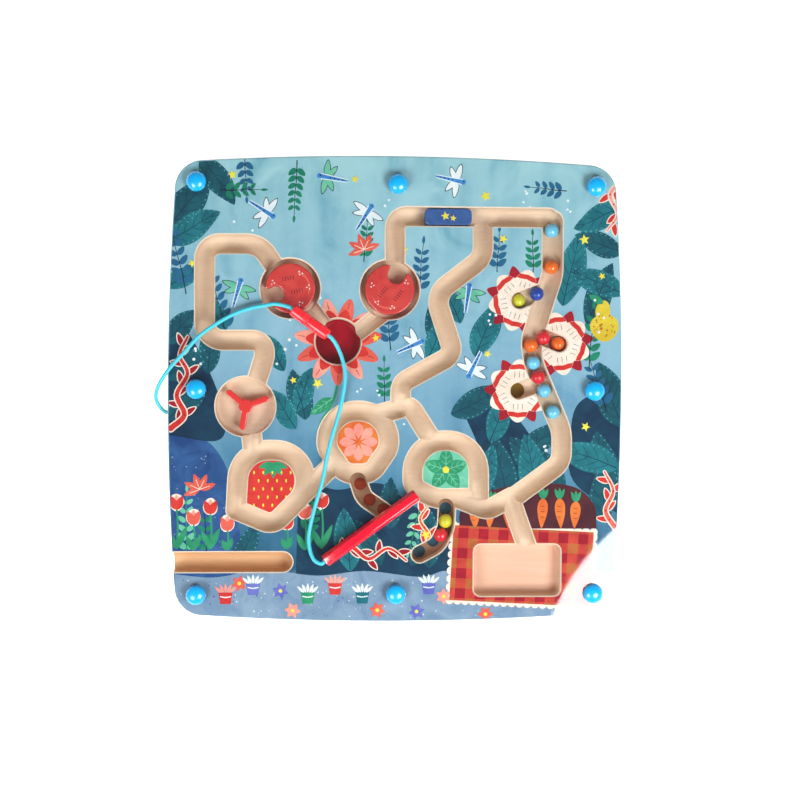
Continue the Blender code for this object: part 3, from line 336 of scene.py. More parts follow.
def groove_cutter(name, samples, profile, closed):
    """The space that a routing bit clears along a centreline."""
    bm = bmesh.new()
    rings = []
    for point, heading in samples:
        right = Vector((heading.y, -heading.x))
        halves = [[(point.x + sign * right.x * u, point.y + sign * right.y * u, z)
                   for u, z in profile[:-1]] for sign in (1, -1)]
        ring = [(point.x, point.y, profile[0][1])] + halves[0]
        ring += [(point.x, point.y, profile[-1][1])] + halves[1][::-1]
        rings.append([bm.verts.new(place) for place in ring])
    skin(bm, rings, closed)
    if not closed:
        round_end(bm, rings[0], samples[0][0], -samples[0][1], profile)
        round_end(bm, rings[-1], samples[-1][0], samples[-1][1], profile)
    return piece_from(bm, name)


def carved(piece, tools, operation="DIFFERENCE"):
    """Apply a Boolean with a group of tools, then delete the tools."""
    group = bpy.data.collections.new(piece.name + "_tools")
    bpy.context.scene.collection.children.link(group)
    for tool in tools:
        bpy.context.scene.collection.objects.unlink(tool)
        group.objects.link(tool)
    step = piece.modifiers.new("carve", "BOOLEAN")
    step.operation = operation
    step.solver = "MANIFOLD"
    step.operand_type = "COLLECTION"
    step.collection = group
    graph = bpy.context.evaluated_depsgraph_get()
    mesh = bpy.data.meshes.new_from_object(piece.evaluated_get(graph))
    piece.modifiers.clear()
    old = piece.data
    piece.data = mesh
    bpy.data.meshes.remove(old)
    mesh.name = piece.name
    for tool in tools:
        bpy.data.objects.remove(tool)
    bpy.data.collections.remove(group)
    mesh.materials.clear()
    shade(mesh)
    return piece


def channel_tools(channel, samples, profile):
    """A channel's cutter, or two for a ring whose two ends cross."""
    if channel not in CROSSING_RINGS:
        return [groove_cutter("tool_" + channel, samples, profile, channel == "ring_b")]
    half = len(samples) // 2
    return [groove_cutter("tool_" + channel, part, profile, False)
            for part in (samples[:half + 1], samples[half:])]


channel_lines = {}
channel_halves = {}
panel_tools = []
for channel, shares in CHANNELS.items():
    width = NARROW_WIDTH if channel in NARROW_CHANNELS else GROOVE_WIDTH
    depth, floor_radius = GROOVE_DEPTH, width
    if channel == "right_run":
        width = WIDE_WIDTH
    if channel.startswith("slot"):
        depth, floor_radius = SLOT_DEPTH, SLOT_FLOOR_RADIUS
    if channel == "pen_groove":
        width, depth = PEN_GROOVE_WIDTH, PEN_GROOVE_DEPTH
    ring_shaped = channel == "ring_b"
    samples = route(shares, width / 2 + LIP + 4 * OVERRUN, ring_shaped)
    channel_lines[channel] = samples
    channel_halves[channel] = width / 2
    panel_tools += channel_tools(channel, samples, routed_profile(width / 2, depth, floor_radius))
pocket_places = [at_share(CHANNELS["mouth_%d" % number][0][:2]) for number in (1, 2, 3)]
rounds = [(at_share(share), ROOM_RADIUS, ROOM_DEPTH, ROOM_FLOOR_RADIUS) for share in ROOM_SHARES]
rounds.append((at_share(ROUND_BASIN_SHARE), ROUND_BASIN_RADIUS, ROOM_DEPTH, BASIN_FLOOR_RADIUS))
rounds += [(place, NARROW_WIDTH / 2, POCKET_DEPTH, POCKET_FLOOR_RADIUS) for place in pocket_places]
for place, radius, depth, floor_radius in rounds:
    outer = [(0, PANEL_TOP + OVERRUN)] + routed_profile(radius, depth, floor_radius)
    panel_tools.append(turned("tool", outer, place, ROUND_STEPS))
for share in SLOT_B_SPOT_SHARES + SLOT_C_SPOT_SHARES:
    floor = PANEL_TOP - SLOT_DEPTH
    spot = rod(SPOT_RADIUS, floor - SPOT_DEPTH, floor + OVERRUN)
    panel_tools.append(turned("tool", spot, at_share(share), SPOT_STEPS))
for share in ROOM_SHARES:
    floor = PANEL_TOP - ROOM_DEPTH
    pin_hole = rod(PIN_HOLE_RADIUS, floor - PIN_HOLE_DEPTH, floor + OVERRUN)
    panel_tools.append(turned("tool", pin_hole, at_share(share), HOLE_STEPS))
screw_places = {row + "_" + column: at_share((sx * SCREW_X_SHARE, sy * SCREW_Y_SHARE))
                for row, sy in (("top", 1), ("middle", 0), ("bottom", -1))
                for column, sx in (("left", -1), ("centre", 0), ("right", 1)) if sx or sy}
for place in screw_places.values():
    pilot = rod(PILOT_RADIUS, PANEL_TOP - PILOT_DEPTH, PANEL_TOP + OVERRUN)
    panel_tools.append(turned("tool", pilot, place, PILOT_STEPS))
cord_hole = turned("tool", rod(CORD_HOLE_RADIUS, -OVERRUN, CORD_HOLE_DEPTH), steps=HOLE_STEPS)
cord_hole.matrix_world = (Matrix.Translation((-BOARD_WIDTH / 2, CORD_HOLE_Y_SHARE * BOARD_LENGTH,
                                              CORD_HOLE_HEIGHT)) @ Matrix.Rotation(pi / 2, 4, "Y"))
panel_tools.append(cord_hole)
basin_place = at_share(BASIN_SHARE)
basin_rings = []
for u, z in routed_profile(BASIN_LENGTH / 2, BASIN_DEPTH, BASIN_FLOOR_RADIUS)[:-1]:
    grow = u - BASIN_LENGTH / 2
    outline = round_box(BASIN_WIDTH + 2 * grow, BASIN_LENGTH + 2 * grow, BASIN_CORNER_RADIUS + grow)
    basin_rings.append([(basin_place.x + p.x, basin_place.y + p.y, z) for p in outline])
panel_tools.append(lofted("tool_basin", basin_rings))
panel = carved(eased_slab("routed_panel", board_outline, EDGE_ROUND, 0, PANEL_TOP), panel_tools)


def colour(red, green, blue):
    """A screen colour, 0 to 255, as the linear colour that a shader takes."""
    linear = [c / 255 / 12.92 if c / 255 <= 0.04045 else ((c / 255 + 0.055) / 1.055) ** 2.4
              for c in (red, green, blue)]
    return (*linear, 1)


def feed(tree, node, sockets):
    """Give a node's sockets their values or their links."""
    for name, value in sockets.items():
        if isinstance(value, bpy.types.NodeSocket):
            tree.links.new(value, node.inputs[name])
        else:
            node.inputs[name].default_value = value
    return node


def add(tree, kind, sockets=None, **settings):
    """A shader node with its settings, its socket values and its links."""
    node = tree.nodes.new("ShaderNode" + kind)
    for name, value in settings.items():
        setattr(node, name, value)
    return feed(tree, node, sockets or {})


def maths(tree, operation, first, second):
    """The result of a Math node."""
    return add(tree, "Math", {0: first, 1: second}, operation=operation).outputs[0]


def noise(tree, place, scale, detail, **sockets):
    """The value of a noise texture at a place."""
    sockets = {"Vector": place, "Scale": scale, "Detail": detail, **sockets}
    return add(tree, "TexNoise", sockets).outputs["Fac"]


def ranged(tree, value, low, high, to_low=0.0, to_high=1.0):
    """A value spread from one range to another."""
    return add(tree, "MapRange", {"Value": value, "From Min": low, "From Max": high,
                                  "To Min": to_low, "To Max": to_high}).outputs[0]


def mixed(tree, factor, first, second, blend="MIX"):
    """The colour output of a Mix node."""
    node = add(tree, "Mix", data_type="RGBA", blend_type=blend)
    return feed(tree, node, {0: factor, 6: first, 7: second}).outputs[2]


def finish(name, roughness, metallic=0.0, coat=0.0, specular=0.5):
    """A material with a Principled shader, and its tree."""
    material = bpy.data.materials.new(name)
    material.use_nodes = True
    tree = material.node_tree
    shader = feed(tree, tree.nodes["Principled BSDF"], {
        "Roughness": roughness, "Metallic": metallic, "Specular IOR Level": specular,
        "Coat Weight": coat, "Coat Roughness": 0.05})
    return material, tree, shader


def effect(name, inputs, outputs):
    """A shader node group with its named sockets, and its input and output nodes."""
    group = bpy.data.node_groups.new(name, "ShaderNodeTree")
    for socket, kind in inputs:
        group.interface.new_socket(name=socket, in_out="INPUT", socket_type="NodeSocket" + kind)
    for socket, kind in outputs:
        group.interface.new_socket(name=socket, in_out="OUTPUT", socket_type="NodeSocket" + kind)
    return group, group.nodes.new("NodeGroupInput"), group.nodes.new("NodeGroupOutput")


def use(tree, group, sockets):
    """A node that places an effect in a material."""
    return feed(tree, add(tree, "Group", node_tree=group), sockets)


wood_grain, g_in, g_out = effect(
    "wood_grain", (("Pale", "Color"), ("Dark", "Color"), ("Figure", "Float")),
    (("Colour", "Color"), ("Height", "Float")))
place = add(wood_grain, "TexCoord").outputs["Object"]
along_grain = add(wood_grain, "Mapping", {"Vector": place, "Scale": (9, 130, 130)}).outputs[0]
fibres = noise(wood_grain, along_grain, 4.0, 6.0, Roughness=0.62)
across_board = add(wood_grain, "Mapping", {"Vector": place, "Scale": (4, 28, 28)}).outputs[0]
bands = noise(wood_grain, across_board, 2.0, 3.0, Distortion=0.6)
figure = ranged(wood_grain, maths(wood_grain, "ADD", fibres, bands), 0.72, 1.28)
strength = maths(wood_grain, "MULTIPLY", figure, g_in.outputs["Figure"])
grain_colour = mixed(wood_grain, strength, g_in.outputs["Pale"], g_in.outputs["Dark"])
feed(wood_grain, g_out, {"Colour": grain_colour, "Height": fibres})


def wood(name, pale, dark, figure, roughness=0.55):
    """Bare routed wood with fine fibres."""
    material, tree, shader = finish(name, roughness)
    grain = use(tree, wood_grain, {"Pale": colour(*pale), "Dark": colour(*dark), "Figure": figure})
    bump = add(tree, "Bump", {"Height": grain.outputs["Height"], "Strength": 0.12, "Distance": 0.0003})
    feed(tree, shader, {"Base Color": grain.outputs["Colour"], "Normal": bump.outputs[0]})
    return material


watercolour, g_in, g_out = effect(
    "watercolour", (("Light", "Color"), ("Dark", "Color"), ("Size", "Float"), ("Wash", "Float")),
    (("Colour", "Color"),))
place = add(watercolour, "TexCoord").outputs["Object"]
pools = noise(watercolour, place, g_in.outputs["Size"], 5.0, Roughness=0.58, Distortion=0.8)
pools = ranged(watercolour, pools, 0.34, 0.66)
brushed = add(watercolour, "Mapping", {"Vector": place, "Scale": (60, 7, 7)}).outputs[0]
streaks = noise(watercolour, brushed, 1.0, 4.0)
streaks = ranged(watercolour, streaks, 0.36, 0.64, 0.0, g_in.outputs["Wash"])
blended = mixed(watercolour, pools, g_in.outputs["Light"], g_in.outputs["Dark"])
washed = mixed(watercolour, streaks, blended, g_in.outputs["Light"])
tooth = ranged(watercolour, noise(watercolour, place, 1400.0, 2.0), 0.3, 0.7, 0.93, 1.06)
feed(watercolour, g_out, {"Colour": mixed(watercolour, 1.0, washed, tooth, "MULTIPLY")})


def paint(name, light, dark, size=45.0, wash=0.0, roughness=0.6, **settings):
    """Watercolour paint, printed flat unless the settings say otherwise."""
    material, tree, shader = finish(name, roughness, **(settings or {"specular": 0.1}))
    pigment = use(tree, watercolour, {"Light": colour(*light), "Dark": colour(*dark),
                                      "Size": size, "Wash": wash})
    feed(tree, shader, {"Base Color": pigment.outputs["Colour"]})
    return material


bare_wood = wood("bare_wood", (236, 208, 180), (206, 172, 142), 0.45)
# Paler wood for the eased lips: a painted highlight where light catches the routed edges.
lip_highlight_wood = wood("lip_highlight_wood", (240, 220, 198), (228, 204, 180), 0.4, 0.5)
warm_wood = wood("warm_wood", (240, 190, 163), (226, 168, 134), 0.55)
amber_wood = wood("amber_wood", (222, 172, 124), (204, 146, 98), 0.6)
slot_wood = wood("slot_wood", (176, 132, 98), (150, 106, 74), 0.7)
crimson_floor = paint("crimson_floor", (172, 18, 40), (140, 10, 30), 70, 0, 0.25)
mustard_floor = paint("mustard_floor", (150, 114, 26), (120, 88, 14), 120)
amber_spot = paint("amber_spot", (182, 70, 34), (150, 48, 22), 120)
slate_spot = paint("slate_spot", (66, 106, 126), (48, 84, 106), 120)

printed_sky, tree, shader = finish("paint_sky", 0.6, specular=0.1)
place = add(tree, "TexCoord").outputs["Object"]
drift = ranged(tree, noise(tree, place, 14.0, 3.0), 0.0, 1.0, -0.03, 0.03)
height = maths(tree, "ADD", add(tree, "SeparateXYZ", {"Vector": place}).outputs["Y"], drift)
height = ranged(tree, height, PANEL_LOW.y, PANEL_HIGH.y)
ramps = []
SKY_HEIGHTS = (0.06, 0.1, 0.3, 0.55, 1.0)
for tones in (((144, 168, 190), (34, 92, 126), (84, 142, 172), (146, 188, 208), (172, 216, 222)),
              ((116, 144, 174), (14, 60, 92), (44, 104, 140), (106, 158, 186), (118, 178, 194))):
    ramp = add(tree, "ValToRGB", {"Fac": height})
    while len(ramp.color_ramp.elements) < len(tones):
        ramp.color_ramp.elements.new(0.5)
    for element, position, tone in zip(ramp.color_ramp.elements, SKY_HEIGHTS, tones):
        element.position = position
        element.color = colour(*tone)
    ramps.append(ramp.outputs["Color"])
pigment = use(tree, watercolour, {"Light": ramps[0], "Dark": ramps[1], "Size": 30.0, "Wash": 0.8})
feed(tree, shader, {"Base Color": pigment.outputs["Colour"]})

panel_finishes = (bare_wood, lip_highlight_wood, warm_wood, slot_wood, crimson_floor, mustard_floor,
                  amber_spot, slate_spot, printed_sky, amber_wood)
for material in panel_finishes:
    panel.data.materials.append(material)
ROUND_FLOOR_HEIGHT = 0.0068
POCKET_FLOOR_HEIGHT = 0.0045
SLOT_FLOOR_HEIGHT = 0.0046
FLOOR_INSET = 0.0004
SLOT_INSET = 0.0001


def near_line(point, samples, reach):
    """True where a point lies within reach of a centreline."""
    for (a, _), (b, _) in zip(samples, samples[1:]):
        leg = b - a
        share = max(0, min(1, (point - a).dot(leg) / leg.length_squared))
        if (a + leg * share - point).length < reach:
            return True
    return False


rim_line = [(p, None) for p in board_outline(0)]
rim_line.append(rim_line[0])


def panel_finish(centre, normal):
    """The finish of one of the panel's faces."""
    flat = centre.xy
    if centre.z > PANEL_TOP - LIP:
        # The eased lips take the paler wood, a painted highlight; the chamfer at the board's rim keeps
        # the print.
        return printed_sky if near_line(flat, rim_line, EDGE_ROUND * 1.1) else lip_highlight_wood
    if normal.z < -0.5 or abs(normal.z) < 0.5 and near_line(flat, rim_line, OVERRUN):
        return amber_wood
    off = flat - basin_place
    if abs(off.x) < BASIN_WIDTH / 2 and abs(off.y) < BASIN_LENGTH / 2:
        return warm_wood if normal.z > 0.5 else bare_wood
    if near_line(flat, channel_lines["pen_groove"], PEN_GROOVE_WIDTH / 2 + LIP * EASE_SHARE):
        return amber_wood
    round_basin = (flat - at_share(ROUND_BASIN_SHARE)).length < ROUND_BASIN_RADIUS - FLOOR_INSET
    if round_basin and centre.z < ROUND_FLOOR_HEIGHT:
        return crimson_floor
    if (flat - pocket_places[2]).length < NARROW_WIDTH / 2 and centre.z < POCKET_FLOOR_HEIGHT:
        return mustard_floor
    for slot, spot in (("slot_b", amber_spot), ("slot_c", slate_spot)):
        if near_line(flat, channel_lines[slot], NARROW_WIDTH / 2 - SLOT_INSET):
            if centre.z < PANEL_TOP - SLOT_DEPTH - SPOT_DEPTH / 2:
                return spot
            return slot_wood if centre.z < SLOT_FLOOR_HEIGHT else bare_wood
    return bare_wood


for face in panel.data.polygons:
    face.material_index = panel_finishes.index(panel_finish(face.center, face.normal))
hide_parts("maze_panel")
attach(panel, "board")

# The print. Its motifs are thin flat shapes of paint on the panel's top, drawn in millimetres
# from the board's middle and cut back from the edge and from each channel's bare lip. It shows
# a garden at dusk: broad leaves, sprigs, dragonflies, blossoms, fruit, pots and a checked cloth.
PRINT_MARGIN = 0.0008
BARE_RIM = 0.0002
PRINT_START = 0.00001
PRINT_THICKNESS = 0.00003
SHEET_STEP = 0.0000042
SHAPE_STEP = 0.0000005
BLOB_STEPS = 48
BLOB_WOBBLE = 0.04
PAINTS = {
    "deep_teal": ((24, 98, 110), (12, 74, 90)), "teal": ((34, 128, 138), (20, 102, 114)),
    "night": ((18, 66, 92), (8, 46, 74)), "rib": ((92, 166, 178), (66, 144, 158)),
    "sprig_blue": ((44, 112, 150), (32, 96, 136)), "sprig_green": ((30, 142, 108), (20, 120, 94)),
    "navy": ((56, 100, 156), (30, 68, 126)), "band": ((144, 168, 190), (116, 144, 174)),
    "white": ((244, 248, 248), (228, 238, 242)), "star": ((246, 234, 88), (236, 216, 62)),
    "red": ((226, 64, 54), (206, 44, 44)), "crimson": ((180, 26, 46), (152, 18, 38)),
    "pink": ((250, 176, 156), (242, 148, 132)), "salmon": ((238, 114, 94), (224, 86, 72)),
    "orange": ((240, 136, 62), (224, 100, 44)), "cream": ((254, 240, 226), (246, 222, 202)),
    "mint": ((130, 208, 176), (98, 186, 154)), "leaf_green": ((56, 164, 116), (36, 138, 96)),
    "plum": ((92, 38, 48), (72, 26, 38)), "plank": ((216, 78, 62), (188, 54, 46)),
    "timber": ((200, 112, 58), (174, 88, 44)), "ink": ((30, 40, 58), (20, 28, 46)),
    "yellow": ((234, 210, 66), (214, 182, 44)), "azure": ((84, 158, 220), (48, 120, 196)),
    "lilac": ((120, 124, 202), (92, 98, 182)),
}


def prism(outline, low, high):
    """Rings of one outline at two heights, for a loft."""
    return stack([outline] * 2, (low, high))


print_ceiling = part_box("cover_sheet")[0].z
print_shapes = {}
land = lofted("land", prism(board_outline(PRINT_MARGIN), PANEL_TOP + PRINT_START / 2,
                            print_ceiling - PRINT_START / 2))
land_cut = (PANEL_TOP - OVERRUN, print_ceiling + OVERRUN)
land_tools = []
bare = LIP + BARE_RIM
for channel, samples in channel_lines.items():
    reach = channel_halves[channel] + LIP + BARE_RIM
    profile = [(reach, land_cut[1]), (reach, land_cut[0]), (0, land_cut[0])]
    land_tools += channel_tools(channel, samples, profile)
for place, radius, _, _ in rounds[:-len(pocket_places)]:
    land_tools.append(turned("tool", rod(radius + LIP + BARE_RIM, *land_cut), place, ROUND_STEPS))
outline = round_box(BASIN_WIDTH + 2 * bare, BASIN_LENGTH + 2 * bare,
                    BASIN_CORNER_RADIUS + LIP + BARE_RIM)
land_tools.append(lofted("tool_basin", prism([basin_place + p for p in outline], *land_cut)))
carved(land, land_tools)


def ink(name, layer, *outlines):
    """Add shapes to the print in one paint and layer."""
    print_shapes.setdefault((name, layer), []).extend(outlines)


def spline(points, steps=6):
    """A smooth line through points."""
    places = [Vector(p) for p in points]
    padded = [2 * places[0] - places[1]] + places + [2 * places[-1] - places[-2]]
    line = []
    for a, b, c, d in zip(padded, padded[1:], padded[2:], padded[3:]):
        for part in range(steps):
            t = part / steps
            line.append(0.5 * (2 * b + (c - a) * t + (2 * a - 5 * b + 4 * c - d) * t ** 2
                               + (3 * b - a - 3 * c + d) * t ** 3))
    return line + [places[-1]]


def stroke(points, width, end_width=None):
    """The outline of a brush line that tapers to its end."""
    line = spline(points)
    last = width * 0.3 if end_width is None else end_width
    sides = [[], []]
    for index, p in enumerate(line):
        heading = (line[min(index + 1, len(line) - 1)] - line[max(index - 1, 0)]).normalized()
        half = (width + (last - width) * index / (len(line) - 1)) / 2
        for side, sign in zip(sides, (1, -1)):
            side.append(p + sign * half * Vector((-heading.y, heading.x)))
    return sides[0] + sides[1][::-1]


def dot(x, y, radius, steps=14):
    """A round dot."""
    return arc((x, y), radius, 0, 2 * pi, steps)[:-1]


def around(x, y, reach, angle):
    """A place at a distance from another, at an angle in degrees."""
    turn = radians(angle)
    return Vector((x + reach * cos(turn), y + reach * sin(turn)))


def blob(x, y, across, tall):
    """A rounded shape with a slightly uneven edge."""
    points = []
    for step in range(BLOB_STEPS):
        angle = 2 * pi * step / BLOB_STEPS
        reach = 1 + BLOB_WOBBLE * sin(3 * angle + x)
        points.append(Vector((x, y)) + Vector((across / 2 * reach * cos(angle),
                                               tall / 2 * reach * sin(angle))))
    return points


def star(x, y, radius, turn=90):
    """A five-pointed star."""
    points = []
    for index in range(10):
        points.append(around(x, y, radius * (0.45 if index % 2 else 1), turn + 36 * index))
    return points


def leaf_places(x, y, heading, length, width, bend=0.0, belly=0.85, tip=0.8):
    """A function that gives places on a leaf from shares along and across it."""
    turn = Matrix.Rotation(radians(heading), 2)

    def at(along, across):
        half = width / 2 * sin(pi * along ** belly) ** tip if 0 < along < 1 else 0
        local = Vector((length * along, bend * sin(pi * along / 2) ** 2 + across * half))
        return Vector((x, y)) + turn @ local
    return at


def leaf(x, y, heading, length, width, bend=0.0, belly=0.85, steps=12, tip=0.8):
    """A pointed leaf that grows from a place along a heading in degrees."""
    at = leaf_places(x, y, heading, length, width, bend, belly, tip)
    shares = [(1 - cos(pi * step / steps)) / 2 for step in range(steps + 1)]
    return [at(share, 1) for share in shares] + [at(share, -1) for share in shares[-2:0:-1]]


def frond(x, y, heading, length, width, bend, body="deep_teal", layer=1, veins="night", dots="rib"):
    """A broad leaf with a midrib, side veins and, if named, a row of dots inside its edge."""
    at = leaf_places(x, y, heading, length, width, bend)
    ink(body, layer, leaf(x, y, heading, length, width, bend, steps=20))
    ink(veins, layer + 1, stroke([at(0.02, 0), at(0.35, 0), at(0.65, 0), at(0.93, 0)], 0.7, 0.3))
    count = max(4, round(length / 7))
    for index in range(1, count):
        share = index / count
        for side in (1, -1):
            ink(veins, layer + 1, stroke([at(share, side * 0.09), at(share + 0.07, side * 0.4),
                                          at(min(share + 0.15, 0.97), side * 0.68)], 0.45, 0.25))
    if dots:
        for index in range(2, 2 * count):
            share = index / (2 * count)
            for side in (1, -1):
                p = at(share, side * 0.86)
                ink(dots, layer + 1, dot(p.x, p.y, 0.5, 8))


def sprig(x, y, heading, length, bend, tone, layer, leaf_length, leaf_width, pairs):
    """A stem with pairs of small leaves and one at its tip."""
    at = leaf_places(x, y, heading, length, 1, bend)
    name, stem = ("mint", "leaf_green") if tone == "mint" else ("sprig_" + tone, "ink")
    ink(stem, layer + 1, stroke([at(0, 0), at(0.33, 0), at(0.66, 0), at(1, 0)], 0.7, 0.35))
    for index in range(pairs):
        share = 0.16 + 0.8 * index / pairs
        p = at(share, 0)
        ahead = at(share + 0.03, 0) - p
        along = degrees(atan2(ahead.y, ahead.x))
        size = 1 - 0.45 * share
        for side in (1, -1):
            root = p + 0.5 * side * Vector((-ahead.y, ahead.x)).normalized()
            ink(name, layer, leaf(root.x, root.y, along + side * 50, leaf_length * size,
                                  1.5 * leaf_width * size, 0, 0.8, 12, 0.6))
    tip = at(1, 0)
    ink(name, layer, leaf(tip.x, tip.y, heading + degrees(atan2(2 * bend, length)) * 0.6,
                          leaf_length * 0.7, leaf_width * 0.7, steps=8))


# Print: the ground. A navy bank at the lower left, dark hills behind the leaves at the right and
# a pale speckled path along the foot.
random.seed(11)
ink("sky", -1, [1000 * p for p in board_outline(PRINT_MARGIN)])
ink("navy", 0, spline([(-151, -22), (-136, -27), (-120, -38), (-110, -56), (-105, -84), (-98, -112),
                       (-90, -124), (-151, -128)], 8))
ink("night", 0, spline([(-151, 44), (-138, 38), (-127, 20), (-118, 0), (-112, -20), (-118, -34),
                        (-151, -30)], 8))
ink("night", 0, spline([(-64, -56), (-40, -66), (-10, -62), (14, -78), (34, -74), (37, -124),
                        (-66, -124)], 8))
ink("night", 0, spline([(151, -6), (134, -2), (120, -10), (116, -30), (118, -60), (151, -84)], 8))
ink("night", 0, spline([(44, -14), (60, -2), (78, -16), (92, -36), (98, -62), (74, -78), (60, -64),
                        (56, -40)], 8))
ink("band", 1, spline([(-151, -121), (-120, -124), (-88, -119), (-52, -123), (-20, -120), (16, -124),
                       (34, -120), (60, -124), (100, -121), (151, -122)], 8)
    + [Vector((151, -156)), Vector((-151, -156))])
for _ in range(150):
    x, y = random.uniform(-148, 148), random.uniform(-152, -125)
    if x < 34 or y < -144:
        ink(random.choice(("white", "navy")), 2, dot(x, y, random.uniform(0.22, 0.5), 7))
for _ in range(60):
    x, y = random.uniform(-149, -104), random.uniform(-118, -44)
    ink("band", 1, dot(x, y, random.uniform(0.25, 0.6), 7))

# Print: leaves and sprigs. Broad teal leaves with dark veins and dotted edges fill the corners
# and the right side, with thin blue and green sprigs between them.
for values in (
        (-150, 104, 58, 44, 21, -4), (-151, 96, 22, 40, 18, 5, "teal"), (-128, 152, -62, 38, 17, 4),
        (-151, 66, 38, 27, 13, -3, "teal"), (-152, 30, 40, 30, 15, 3), (-152, 8, 22, 34, 17, 4),
        (-150, -20, 48, 34, 15, -4), (150, 122, 196, 36, 17, 5, "teal"), (150, 92, 168, 34, 16, -4),
        (151, 64, 150, 40, 17, 4, "teal"), (151, -24, 118, 46, 21, -5),
        (148, -52, 152, 44, 20, 5, "teal", 2), (143, -66, 98, 40, 19, 4), (112, -68, 128, 52, 22, 6),
        (96, -74, 110, 46, 20, -5, "teal", 2), (74, -74, 96, 44, 20, 4),
        (62, -34, 62, 34, 16, 4, "teal"), (28, 28, 100, 38, 17, -4), (20, 20, 58, 30, 14, 4, "teal"),
        (-60, -20, 96, 34, 16, 5), (-66, -26, 130, 30, 14, -4, "teal"), (-4, -92, 82, 34, 15, 4),
        (-10, -116, 112, 34, 16, 4), (10, -116, 60, 34, 15, -3), (-104, -118, 76, 32, 14, -4),
        (52, 22, 74, 40, 18, -4, "teal"), (42, 44, 108, 32, 14, 4, "teal"),
        (110, 56, 82, 50, 20, -4, "teal"), (126, 44, 62, 44, 18, 4), (138, -88, 92, 44, 20, -4),
        (50, -78, 76, 44, 18, -4, "teal"), (36, -16, 20, 40, 18, 4), (84, -44, 50, 34, 16, -4),
        (-66, -14, 64, 30, 14, 3, "teal"), (-30, -120, 92, 42, 18, 3, "teal"),
        (22, -118, 86, 40, 17, 3), (-112, 38, 118, 34, 14, 4, "teal"), (-124, 10, 80, 34, 14, 3),
        (-74, 12, 122, 26, 12, -3, "teal")):
    frond(*values)
for values in (
        (-138, 62, 96, 46, 5, "blue", 2, 9, 3.4, 6), (-112, 34, 96, 44, 5, "blue", 1, 9, 3.4, 6),
        (-66, 150, 272, 36, -3, "green", 1, 7, 2.8, 6), (-56, 44, 118, 20, 3, "blue", 1, 7, 2.6, 4),
        (-22, 84, 92, 26, -3, "green", 1, 7, 2.6, 5), (14, 62, 78, 34, 4, "blue", 1, 8, 3, 5),
        (66, 78, 96, 26, -4, "blue", 1, 8, 3, 4), (90, 78, 84, 24, 3, "green", 1, 7, 2.6, 4),
        (128, 14, 92, 40, -4, "green", 2, 9, 3.4, 5), (140, -14, 102, 36, 4, "blue", 2, 9, 3.2, 5),
        (-100, 152, 266, 26, 3, "blue", 1, 7, 2.8, 4), (-4, 26, 100, 40, -4, "blue", 1, 9, 3.2, 6),
        (-8, -8, 84, 26, 3, "green", 1, 7, 2.8, 4), (-138, -112, 84, 44, 4, "mint", 2, 8, 3, 6),
        (-124, -110, 100, 30, -3, "green", 2, 7, 2.6, 4), (-60, -96, 64, 26, 3, "green", 1, 8, 3, 4),
        (16, -78, 250, 30, 3, "mint", 2, 7, 2.6, 4), (-116, 130, -8, 26, 4, "green", 2, 7, 2.6, 4),
        (112, 132, 182, 24, -3, "blue", 1, 7, 2.6, 4)):
    sprig(*values)

# Print: dragonflies, stars and dots over the evening sky.
for x, y, turn, wings in ((-86, 116, -32, "white"), (-46, 139, 170, "mint"), (-20, 116, 58, "white"),
                          (-104, 66, 74, "mint"), (12, 30, 24, "white"), (47, 64, 82, "mint"),
                          (50, 14, 244, "white"), (38, 138, -12, "white")):
    tilt = Matrix.Rotation(radians(turn), 2)
    for side in (1, -1):
        for lean, length, width in ((86, 10.5, 3.8), (122, 8.6, 3.4)):
            root = Vector((x, y)) + tilt @ Vector((3.4 - 0.03 * lean, side * 0.5))
            heading = turn + side * lean
            ink("ink", 2, leaf(root.x, root.y, heading, length + 0.7, width + 0.8, 0, 0.7, 12, 0.6))
            ink(wings, 3, leaf(root.x, root.y, heading, length, width, 0, 0.7, 12, 0.6))
    tail, head = [Vector((x, y)) + tilt @ Vector((along, 0)) for along in (-13, 5.2)]
    for paint_name, layer, width, end_width in (("white", 3, 2.2, 4.0), ("azure", 4, 1.1, 2.8)):
        ink(paint_name, layer, stroke([tail, (tail + head) / 2, head], width, end_width))
    ink("azure", 4, dot(head.x, head.y, 1.8, 14))
    ink("ink", 5, dot(head.x + 0.4, head.y + 0.3, 0.5, 8))
    for step in range(4):
        ring = tail + (head - tail) * (0.16 + 0.15 * step)
        ink("ink", 4, dot(ring.x, ring.y, 0.5, 8))
for x, y, size in (
        (-108, 140, 1.9), (-28, 138, 1.6), (58, 128, 2.2), (-134, 82, 1.7), (-88, 84, 2.0),
        (-62, 76, 1.5), (4, 92, 2.1), (10, 6, 2.0), (-14, 34, 1.6), (-52, 4, 2.2), (-68, 6, 1.5),
        (34, 74, 1.7), (60, 24, 1.6), (124, 100, 2.1), (136, 76, 1.5), (70, 100, 1.8),
        (-20, -70, 1.8), (20, -96, 2.1), (-48, -54, 1.7), (126, -24, 1.9), (8, -60, 1.5)):
    ink("star", 8, star(x, y, size * 1.7, random.uniform(60, 130)))
for x, y in ((-100, 96), (-10, 62), (30, 46), (60, 44), (112, 116), (-70, 20), (-20, 0), (132, 48),
             (-60, 60), (4, 118), (-130, 20), (104, -44), (-4, -22), (-56, -76), (84, 128)):
    for _ in range(4):
        ink("white", 8, dot(x + random.gauss(0, 5), y + random.gauss(0, 6),
                            random.uniform(0.7, 1.05), 12))

